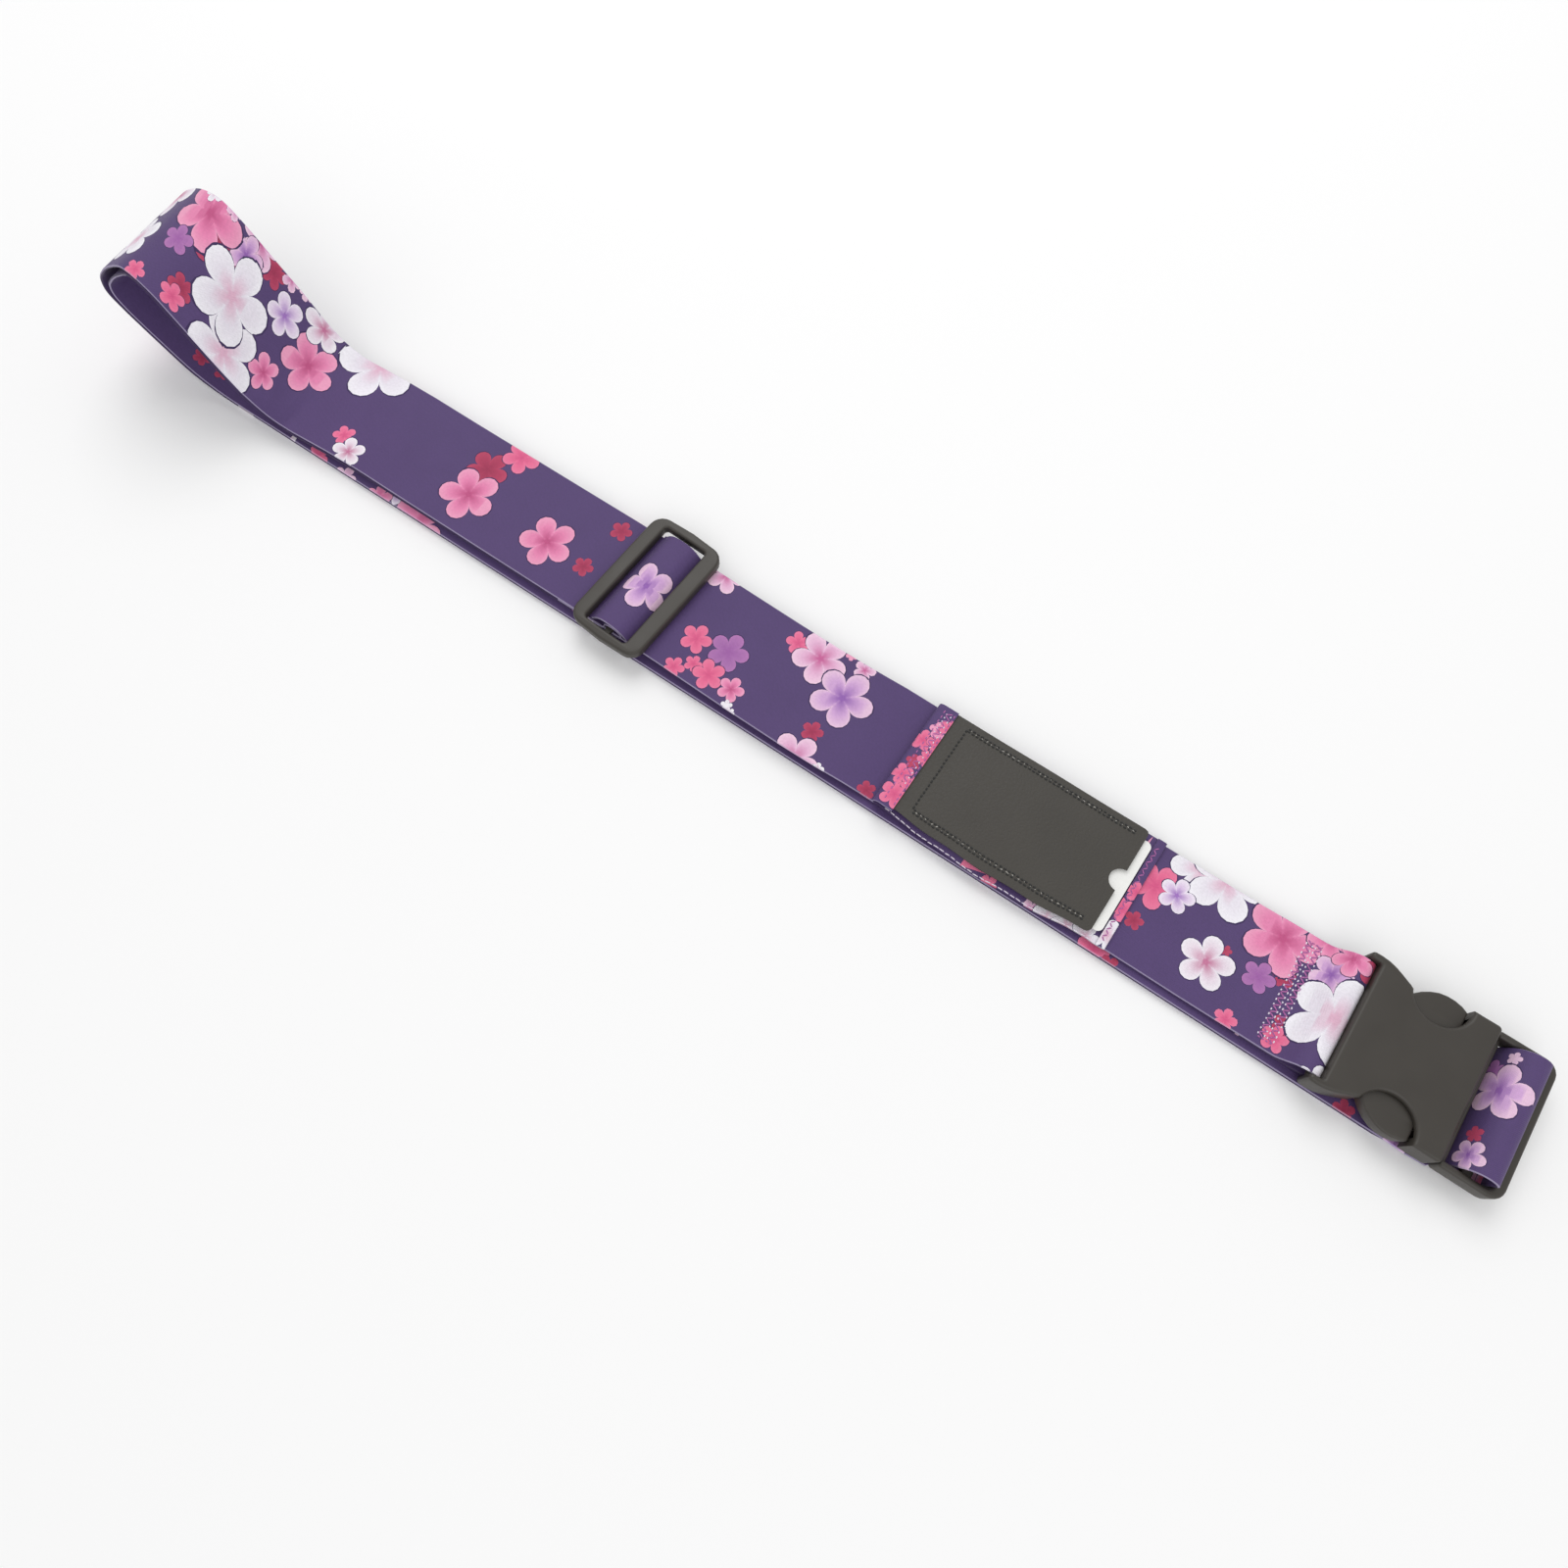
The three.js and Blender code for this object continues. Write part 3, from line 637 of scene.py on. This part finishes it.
def upper_webbing():
    """From the eye at the buckle, under the tag and the slider, and round the outside of the fold."""
    route = Route(EYE + FRONT + TOP + FOLD_OUTER, print_side=1)
    x = route.points[:, 0]
    top_run = (x > -190 * MM) & (route.distance > route.distance[np.argmax(x)])
    zero = float(np.interp(0, x[top_run][::-1], route.distance[top_run][::-1])) / MM   # where X is 0
    blossoms = scattered(2, zero - 282, 26)
    hidden = len(blossoms)
    blossoms += [Blossom(zero - x, y, size, kind, 180 - turn)
                 for x, y, size, kind, turn in UPPER_BLOSSOMS]
    unseen = scattered(zero + 372, route.length / MM - 6, 30)
    piece = printed_webbing("upper_webbing", route, blossoms[:hidden] + unseen + blossoms[hidden:],
                            under=blossoms[:hidden], place=leaned)
    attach(piece, "strap")
    declare(piece, route, "webbing_front", "webbing_middle", "webbing_top", "webbing_fold_outer",
            "webbing_buckle_eye")


def lower_webbing():
    """Along the floor, round the plug's bar and back inside."""
    route = Route(LOWER_OUTER + ROLL + LOWER_INNER, print_side=1)
    over_bar = route.distance[np.argmax(route.points[:, 2])] / MM
    scatter = scattered(4, route.length / MM - 4, 34, clear=[(over_bar - 40, over_bar + 34)])
    # The near edge, which shows, carries only the blossoms of the table and those beside the fold.
    blossoms = [b for b in scatter if b.w - b.radius > -23 * MM or b.s > (over_bar + 489) * MM]
    blossoms += [Blossom(over_bar + s, *rest) for s, *rest in ROLL_BLOSSOMS]
    in_mouth = [Blossom(over_bar - 15, -24, 12, "blush"), Blossom(over_bar - 9, -20, 15, "rose", 20)]
    piece = printed_webbing("lower_webbing", route, blossoms, under=blossoms + in_mouth)
    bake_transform(piece)
    declare(piece, route, "webbing_bottom_outer", "webbing_bottom_inner", "webbing_buckle_roll")


def inner_webbing():
    """The inside of the fold, the tail below the slider and its end sewn round the slider's bar."""
    route = Route(FOLD_INNER + TAIL + WRAP, print_side=1)
    blossoms = scattered(180, route.length / MM - 4, 30)
    blossoms += [Blossom(50, -16, 9, "crimson"), Blossom(61, -17, 8.5, "crimson", 20)]
    piece = printed_webbing("inner_webbing", route, blossoms, place=leaned)
    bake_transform(piece)
    declare(piece, route, "webbing_fold_inner", "webbing_tail", "webbing_slider_wrap")


def yawed(point):
    """The slider and the webbing over its bar lie turned a little."""
    x, y = point[0] - SLIDER_X * MM, point[1]
    return np.array([SLIDER_X * MM + x * math.cos(SLIDER_YAW) - y * math.sin(SLIDER_YAW),
                     x * math.sin(SLIDER_YAW) + y * math.cos(SLIDER_YAW), point[2]])


def slider_hump():
    """The stretch that rises through the slider and over its bar."""
    route = Route(HUMP, print_side=-1)
    middle = route.length / MM / 2
    blossom = Blossom(middle + 1.2, -1.4, 24, "lilac", 51)
    piece = printed_webbing("slider_hump", route, [blossom], turn=5, place=yawed)
    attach(piece, "adjuster")
    declare(piece, route, "webbing_slider_hump")


# ---- moulded plastic ----
def filleted(corners, steps=5):
    """A closed outline from (x, y, radius) corners."""
    outline = []
    for k, (x, y, radius) in enumerate(corners):
        here = Vector((x, y))
        if radius == 0:
            outline.append(here)
            continue
        before = (Vector(corners[k - 1][:2]) - here).normalized()
        after = (Vector(corners[(k + 1) % len(corners)][:2]) - here).normalized()
        half_angle = before.angle(after) / 2
        reach = radius / math.tan(half_angle)
        centre = here + (before + after).normalized() * radius / math.sin(half_angle)
        start, end = here + before * reach - centre, here + after * reach - centre
        for i in range(steps + 1):
            outline.append(centre + start.slerp(end, i / steps).normalized() * radius)
    return outline


def rectangle(x0, x1, half_width, radius):
    return filleted([(x0, -half_width, radius), (x1, -half_width, radius),
                     (x1, half_width, radius), (x0, half_width, radius)])


def inset(outline, distance):
    """The outline moved to its left by a distance."""
    moved = []
    for k, here in enumerate(outline):
        before, after = outline[k - 1], outline[(k + 1) % len(outline)]
        sides = (here - before).normalized(), (after - here).normalized()
        left, next_left = (Vector((-side.y, side.x)) for side in sides)
        moved.append(here + (left + next_left) * distance / max(1 + left.dot(next_left), 0.3))
    return moved


def plate(outlines, low, high, bevel):
    """A moulded plate with rounded edges, over the first outline and open inside the others."""
    loops = []
    for k, outline in enumerate(outlines):
        loop = [Vector(point) for point in outline]
        area = sum(loop[i - 1].cross(loop[i]) for i in range(len(loop)))
        loops.append(loop if (area > 0) == (k == 0) else loop[::-1])
    turns = [math.pi / 2 * i / 4 for i in range(5)] if bevel else [0]
    rims = [(bevel * (1 - math.sin(turn)), bevel * (1 - math.cos(turn))) for turn in turns]
    rings = [(reach, low + rise) for reach, rise in rims]
    rings += [(reach, high - rise) for reach, rise in reversed(rims)]
    points, faces = [], []
    count = sum(len(loop) for loop in loops)
    for ring, (reach, height) in enumerate(rings):
        for loop in loops:
            first = len(points)
            points += [(x * MM, y * MM, height * MM) for x, y in inset(loop, reach)]
            for k in range(len(loop)) if ring else ():
                a, b = first + k, first + (k + 1) % len(loop)
                faces.append([a - count, b - count, b, a])
    cap_loops = [[Vector((*point, 0)) for point in inset(loop, bevel)] for loop in loops]
    caps = tessellate_polygon(cap_loops)
    faces += [list(corner) for corner in caps]
    faces += [[len(points) - count + k for k in reversed(corner)] for corner in caps]
    mesh = bpy.data.meshes.new("plate")
    mesh.from_pydata(points, [], faces)
    shell = bmesh.new()
    shell.from_mesh(mesh)
    bmesh.ops.recalc_face_normals(shell, faces=shell.faces)
    shell.to_mesh(mesh)
    shell.free()
    return mesh


def combined(base, added=(), removed=()):
    """One solid from several."""
    holder = bpy.data.objects.new("solid", base)
    bpy.context.scene.collection.objects.link(holder)
    tools = []
    for operation, meshes in (("UNION", added), ("DIFFERENCE", removed)):
        for mesh in meshes:
            tool = bpy.data.objects.new("tool", mesh)
            bpy.context.scene.collection.objects.link(tool)
            step = holder.modifiers.new("step", "BOOLEAN")
            step.operation, step.object, step.solver = operation, tool, "EXACT"
            tools.append(tool)
    result = holder.evaluated_get(bpy.context.evaluated_depsgraph_get())
    mesh = bpy.data.meshes.new_from_object(result)
    for used in tools + [holder]:
        bpy.data.objects.remove(used)
    mesh.materials.clear()
    return mesh


def plastic(name, mesh, body, node_name):
    """A moulded piece on its body, in place of its CAD node."""
    piece = finished(name, mesh, "plastic", angle=40)
    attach(piece, body)
    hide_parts(node_name)


def slider():
    """A frame with one wide opening, and the bar across it that carries the webbing."""
    frame_outline = filleted([(-18.2, -30.6, 6.5), (0, -31.6, 0), (18.2, -30.6, 6.5),
                              (18.2, 30.6, 6.5), (0, 31.6, 0), (-18.2, 30.6, 6.5)])
    mesh = combined(plate([frame_outline, rectangle(-11.5, 10.5, 27.2, 1.6)], 7.5, 12.1, 1.1),
                    added=[plate([rectangle(-1.6, 1.6, 28, 0.6)], 8.1, 9.8, 0.5)])
    mesh.transform(Matrix.Translation((SLIDER_X * MM, 0, 0)) @ Matrix.Rotation(SLIDER_YAW, 4, "Z"))
    plastic("slider_frame", mesh, "adjuster", "slider")


def mirrored(half):
    """A closed outline from its +Y half."""
    return half + [(x, -y, *rest) for x, y, *rest in reversed(half)]


def arc(x, y, radius, start, end, steps):
    """Corners without fillets along an arc between two angles in degrees."""
    angles = [math.radians(start + (end - start) * i / steps) for i in range(steps + 1)]
    return [(x + radius * math.cos(a), y + radius * math.sin(a), 0) for a in angles]


def socket_shell():
    """The female half: a flat shell, a round bite in each side and two fingers beside the webbing."""
    bite = arc(291.8, 27, 11.2, 199, 367, 24)
    half = [(267.9, 25.2, 0.8), (263.2, 25.2, 1.3), (263.2, 28.1, 1.4), (267, 28.2, 0),
            (270, 27.9, 0), (273, 27.1, 0), (276, 25.9, 0), (278.4, 24.8, 0), (280, 24.1, 0),
            *bite, (313.7, 28.4, 1.6)]
    cavity = mirrored([(272, 19.4), (278.5, 19.4), (283.5, 25.2), (319, 25.2)])
    mesh = combined(plate([filleted(mirrored(half))], 3.6, 15.6, 1.3),
                    added=[plate([rectangle(263.4, 266.6, 26.4, 1.3)], 7.6, 11.4, 1.2)],
                    removed=[plate([cavity], 5.8, 13.4, 0)])
    plastic("socket_shell", mesh, "strap", "female_buckle")


def plug_frame():
    """The male half: a frame round the webbing's bar, and the tongue and guide between the prongs."""
    rim = [(314.3, 28.4, 1.2), (337.4, 28.4, 5.4), (337.4, -28.4, 5.4), (314.3, -28.4, 1.2),
           (314.3, -25.6, 1.2), (333, -25.6, 1.6), (333, 25.6, 1.6), (314.3, 25.6, 1.2)]
    mesh = combined(
        plate([filleted(rim)], 4.3, 12.5, 1.1),
        added=[plate([rectangle(314.3, 317.4, 26.6, 0.7)], 4.3, 9, 0.6),
               plate([rectangle(322.6, 326.6, 26.6, 1.4)], 6.8, 10.6, 1.3),
               plate([rectangle(304, 315, 12.4, 1)], 6.4, 8.9, 0.6),
               plate([rectangle(304, 314.2, 12.3, 1)], 6.5, 12.8, 0.8),
               plate([rectangle(276, 305, 3.6, 1.5)], 7, 12.2, 0.9)])
    plastic("plug_frame", mesh, "plug", "male_buckle")


def prong(name, side, body, node_name):
    """A latch arm that ends in a round thumb pad and a hooked nose."""
    pad = [(302.1, 27.2, 0.9), (299.5, 28.4, 0), (296.5, 29, 0), (293.5, 29, 0), (290.5, 28.4, 0),
           (287.6, 27, 0), (285, 25.2, 0), (283, 23.2, 0), (281.4, 20.8, 0)]
    outline = [(313.5, 16.2, 1), (313.5, 20.2, 1), (304.6, 20.6, 1.2), (302.1, 21.4, 0.3), *pad,
               (277.2, 16.6, 1.0), (278.2, 14.4, 0.8), (290, 13.8, 0), (300, 15.8, 0)]
    mesh = plate([filleted([(x, side * y, r) for x, y, r in outline])], 6.4, 12.8, 0.9)
    plastic(name, mesh, body, node_name)


# ---- address tag ----
TAPE_WIDTH = 50.8
PANEL_LEFT, PANEL_RIGHT, PANEL_NEAR, PANEL_FAR = 80, 173.7, -23.6, 25
NOTCH_Y, NOTCH_RADIUS = 1, 4.8    # the thumb notch in the pocket's open end


def panel_bow(x, y):
    """The near edge of the tag bows outwards and waves."""
    along = max(min((x - PANEL_LEFT) / (PANEL_RIGHT - PANEL_LEFT), 1), 0)
    return max(y / PANEL_NEAR, 0) ** 4 * (-2.3 * math.sin(math.pi * along) + 0.25 * math.sin(x / 4.2))


def tag_tape():
    """The printed tape under the tag, turned over into a hem at each end."""
    route = Route(level(0, [
        (85.6, 9), (79, 9), (77.5, 8.5), (76.9, 7.2), (77.5, 5.9), (79, 5.4), (80.6, 5.4),
        (88.6, 5.4), (169.9, 5.4), (180.7, 5.4), (181.43, 5.57), (181.58, 5.85), (181.43, 6.13),
        (180.7, 6.3), (178, 6.3)]), print_side=1)
    blossoms = [Blossom(*spot) for spot in HEM_BLOSSOMS]
    blossoms += [Blossom(route.length / MM - 4 + s, *rest) for s, *rest in END_HEM_BLOSSOMS]
    scatter = scattered(20, route.length / MM - 12, 40, sizes=(6, 16))
    hidden = [b for b in scatter if b.w - b.radius > -19 * MM]   # clear of the edge that shows
    edge = [Blossom(*spot) for spot in TAPE_EDGE_BLOSSOMS]

    def place(point):
        return point + np.array([0, panel_bow(point[0] / MM, point[1] / MM) * MM, 0])

    piece = printed_webbing("tag_tape", route, blossoms + edge, width=TAPE_WIDTH, thickness=0.6,
                            under=hidden + edge, place=place, turn=12)
    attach(piece, "strap")
    declare(piece, route, "tag_backing", width=TAPE_WIDTH)


def panel_rise(x, y):
    """The pocket puffs up a little over the card, and its free edge waves."""
    along = max(min((x - 93) / 12, 1), 0)
    across = max(1 - (abs(y - 0.8) / 21) ** 3, 0)
    return 0.55 * along * across + 0.12 * math.sin(x / 9) * along


def tag_panel():
    """The pocket's face, with a thumb notch in its open end."""
    left, right, near, far = PANEL_LEFT, PANEL_RIGHT, PANEL_NEAR, PANEL_FAR
    notch = [(x, y) for x, y, _ in arc(right, NOTCH_Y, NOTCH_RADIUS, 270, 90, 18)]
    outline = [
        (left, near), (right - 2.2, near), (right - 0.7, near + 0.4), (right, near + 1.6), *notch,
        (right, far - 1.6), (right - 0.7, far - 0.4), (right - 2.2, far), (left, far)]
    lines = [[(x, near), (x, far)] for x in np.arange(left + 2, right - 0.7, 2.6)]
    lines += [[(left, y), (right, y)] for y in np.arange(near + 2.6, far, 2.6)]

    def inside(x, y):
        x, y = x / MM, y / MM
        in_notch = math.hypot(x - right, y - NOTCH_Y) <= NOTCH_RADIUS - 0.05
        return left < x < right and near < y < far and not in_notch

    def scaled(line):
        return [(x * MM, y * MM) for x, y in line]

    def put(spot, level):
        x, y = spot[0] / MM, spot[1] / MM
        return np.array([x, y + panel_bow(x, y), 8 + panel_rise(x, y) + 0.4 * level]) * MM

    layout = lay_out(scaled(outline), [scaled(line) for line in lines], inside)
    piece = slab("pocket_panel", layout, put, "panel")
    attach(piece, "strap")
    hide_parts("tag_panel")


# ---- stitching ----
# Rings along one stitch: share of its length, size and lift as shares of the thread's radius.
STITCH_RINGS = ((0, 0.4, -0.5), (0.15, 0.85, 0.1), (0.5, 1, 0.35), (0.85, 0.85, 0.1), (1, 0.4, -0.5))


def threads(name, stitches, radius, finish, slot, replaced=(), body="strap"):
    """Short raised stitches, each a rounded length of thread between two points in millimetres."""
    points, faces = [], []
    sides = 6
    last = len(STITCH_RINGS) - 1
    for start, end in stitches:
        start, end = Vector(start) * MM, Vector(end) * MM
        along = (end - start).normalized()
        across = along.cross(Vector((0, 0, 1))).normalized()
        up = across.cross(along)
        first = len(points)
        for share, size, lift in STITCH_RINGS:
            centre = start.lerp(end, share) + up * lift * radius * MM
            for k in range(sides):
                turn = 2 * math.pi * k / sides
                spoke = across * math.cos(turn) + up * 0.75 * math.sin(turn)
                points.append(centre + spoke * size * radius * MM)
        for ring in range(last):
            for k in range(sides):
                a, b = first + ring * sides + k, first + ring * sides + (k + 1) % sides
                faces.append([a, b, b + sides, a + sides])
        faces.append([first + k for k in reversed(range(sides))])
        faces.append([first + last * sides + k for k in range(sides)])
    mesh = bpy.data.meshes.new(name)
    mesh.from_pydata(points, [], faces)
    piece = finished(name, mesh, finish, angle=60)
    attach(piece, body)
    if replaced:
        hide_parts(*replaced)


def dashes(start, end, height, pitch=2.4, share=0.68, wander=0.12, shift=lambda x, y: 0):
    """Stitches in a row from start to end, at height(x, y)."""
    start, end = Vector(start), Vector(end)
    count = max(int(round((end - start).length / pitch)), 1)
    row = []
    for i in range(count):
        ends = []
        for at in (i + (1 - share) / 2, i + (1 + share) / 2):
            x, y = start.lerp(end, at / count)
            x, y = x + random.uniform(-wander, wander), y + random.uniform(-wander, wander)
            ends.append((x, y + shift(x, y), height(x, y)))
        row.append(ends)
    return row


def zigzag(x, y0, y1, half_width, height, pitch=1.5):
    """A column of slanting stitches."""
    count = int(round((y1 - y0) / pitch))
    row = []
    for i in range(count):
        side = half_width if i % 2 else -half_width
        low, high = y0 + pitch * i, y0 + pitch * (i + 0.9)
        jitter = random.uniform(-0.15, 0.15)
        row.append([(x - side + jitter, low, height(x - side, low)),
                    (x + side + jitter, high, height(x + side, high))])
    return row


def flat(height):
    """One height everywhere, for rows of stitches."""
    return lambda x, y: height


def webbing_stitches():
    """The stitches beside the buckle, and two rows where the webbing's end is sewn by the slider."""
    def buckle_end(x, y):
        return 5.97 + (x - 237) * 0.018

    coloured, pale = [], []
    for x in (245, 248.7):
        coloured += zigzag(x, -21.4, 21.4, 1.15, buckle_end)
        for edge in (-1.25, 1.25):
            pale += dashes((x + edge, -21.4), (x + edge, 21.4), buckle_end, pitch=2.1, share=0.42)
    for y in (-21.6, 21.6):
        coloured += dashes((243.8, y), (249.9, y), buckle_end, pitch=1.6)
    threads("stitches_buckle_end", coloured, 0.3, "purple_thread", "purple_thread",
            ["stitch_buckle_end"])
    threads("stitches_buckle_end_pale", pale, 0.3, "white_thread", "purple_thread")

    rows = dashes((-82, -21), (-82, 21), flat(5.78)) + dashes((-74, -21), (-74, 21), flat(5.78))
    threads("stitches_slider_end", rows, 0.24, "purple_thread", "purple_thread",
            ["stitch_slider_end"], body="adjuster")


def hem_stitches():
    """Both hems of the tag's tape, and the row along its near edge."""
    on_hem = flat(9.32)
    coloured = dashes((84.9, -23.4), (84.9, 23.8), on_hem, pitch=2.2)
    coloured += dashes((80.3, -23), (80.3, 23.6), on_hem, pitch=2.3)
    coloured += zigzag(82.6, 3, 23, 1.4, on_hem, pitch=1.7)
    coloured += zigzag(82.6, -12, -1, 1.4, on_hem, pitch=1.8)
    threads("stitches_left_hem", coloured, 0.28, "purple_thread", "purple_thread",
            ["stitch_tag_left"])
    pale = dashes((81.6, 12), (81.6, 23), on_hem, pitch=2, share=0.4)
    pale += dashes((83.7, -14), (83.7, 23), on_hem, pitch=2.6, share=0.35)
    threads("stitches_left_hem_pale", pale, 0.26, "white_thread", "purple_thread")

    rows = zigzag(179.4, -23, 22.6, 0.75, flat(6.62), pitch=1.6)
    threads("stitches_right_hem", rows, 0.26, "purple_thread", "purple_thread", ["stitch_tag_right"])

    edge = dashes((82, -24.9), (176, -24.9), flat(5.8), pitch=2.7, share=0.85, shift=panel_bow)
    threads("stitches_tape_edge", edge, 0.24, "white_thread", "purple_thread")


def pocket_stitches():
    """A row across the pocket's closed end and a double one along each side, with a few pale dashes
    as painted glints.
    """
    def on_panel(x, y):
        return 8.42 + panel_rise(x, y)

    rows = dashes((92, -20), (92, 21.6), on_panel, pitch=1.9, share=0.86)
    for y in (-20.6, -19.4, 20.9, 22.1):
        rows += dashes((92.2, y), (169.4, y), on_panel, pitch=1.9, share=0.8, shift=panel_bow)
    threads("stitches_pocket", rows, 0.42, "black_thread", "black_thread", ["stitch_pocket"])
    # Painted highlights: pale dashes over the side rows stand for glints of light on the black
    # thread.
    glints = []
    for y in (-19.9, 21.5):
        glints += dashes((92.6, y), (169.4, y), on_panel, pitch=2.5, share=0.3, wander=0.4,
                         shift=panel_bow)
    threads("stitches_pocket_pale", glints, 0.2, "painted_glint", "black_thread")


upper_webbing()
lower_webbing()
inner_webbing()
slider_hump()
slider()
socket_shell()
plug_frame()
prong("left_latch_prong", 1, "left_latch", "left_prong")
prong("right_latch_prong", -1, "right_latch", "right_prong")
tag_tape()
tag_panel()
webbing_stitches()
hem_stitches()
pocket_stitches()
bpy.data.objects["address_card"].material_slots[0].material = MATERIALS["card"]   # the CAD node stays


# ---- floor, light and camera ----
def make_floor(reach=4):
    mesh = bpy.data.meshes.new("floor")
    corners = [(-reach, -reach, 0), (reach, -reach, 0), (reach, reach, 0), (-reach, reach, 0)]
    mesh.from_pydata(corners, [], [(0, 1, 2, 3)])
    floor = bpy.data.objects.new("floor", mesh)
    floor.location.z = -0.2 * MM
    bpy.context.scene.collection.objects.link(floor)
    mesh.materials.append(new_material("floor", colour(250, 250, 250), 0.9, specular=0.1)[0])


def make_light(name, energy, size, place, aim):
    lamp = bpy.data.lights.new(name, "AREA")
    lamp.energy, lamp.shape, lamp.size = energy, "DISK", size
    holder = bpy.data.objects.new(name, lamp)
    holder.location = place
    holder.rotation_euler = (Vector(aim) - Vector(place)).to_track_quat("-Z", "Y").to_euler()
    bpy.context.scene.collection.objects.link(holder)


CAMERA_AT = Vector((0.1326, -0.1642, 0.4230))
CAMERA_AIM = Vector((0.0422, -0.0376, 0.0))
CAMERA_ROLL = math.radians(-0.9)
CAMERA_LENS = 25.4


def make_camera():
    holder = bpy.data.objects.new("camera", bpy.data.cameras.new("camera"))
    holder.data.lens = CAMERA_LENS
    holder.data.sensor_width = 36
    holder.data.clip_start = 0.01
    turn = (CAMERA_AIM - CAMERA_AT).to_track_quat("-Z", "Y").to_matrix().to_4x4()
    holder.matrix_world = Matrix.Translation(CAMERA_AT) @ turn @ Matrix.Rotation(CAMERA_ROLL, 4, "Z")
    bpy.context.scene.collection.objects.link(holder)
    bpy.context.scene.camera = holder


def make_world():
    world = bpy.data.worlds.new("studio")
    world.use_nodes = True
    background = world.node_tree.nodes["Background"]
    background.inputs["Color"].default_value = (1, 1, 1, 1)
    background.inputs["Strength"].default_value = 0.66
    bpy.context.scene.world = world


make_floor()
make_light("key_light", 12, 1.4, (-0.6, 0.9, 1.5), (0, 0, 0))
make_light("fill_light", 6, 1.6, (0.9, -0.9, 1.3), (0, 0, 0))
make_camera()
make_world()
bpy.context.scene.view_settings.view_transform = "Standard"
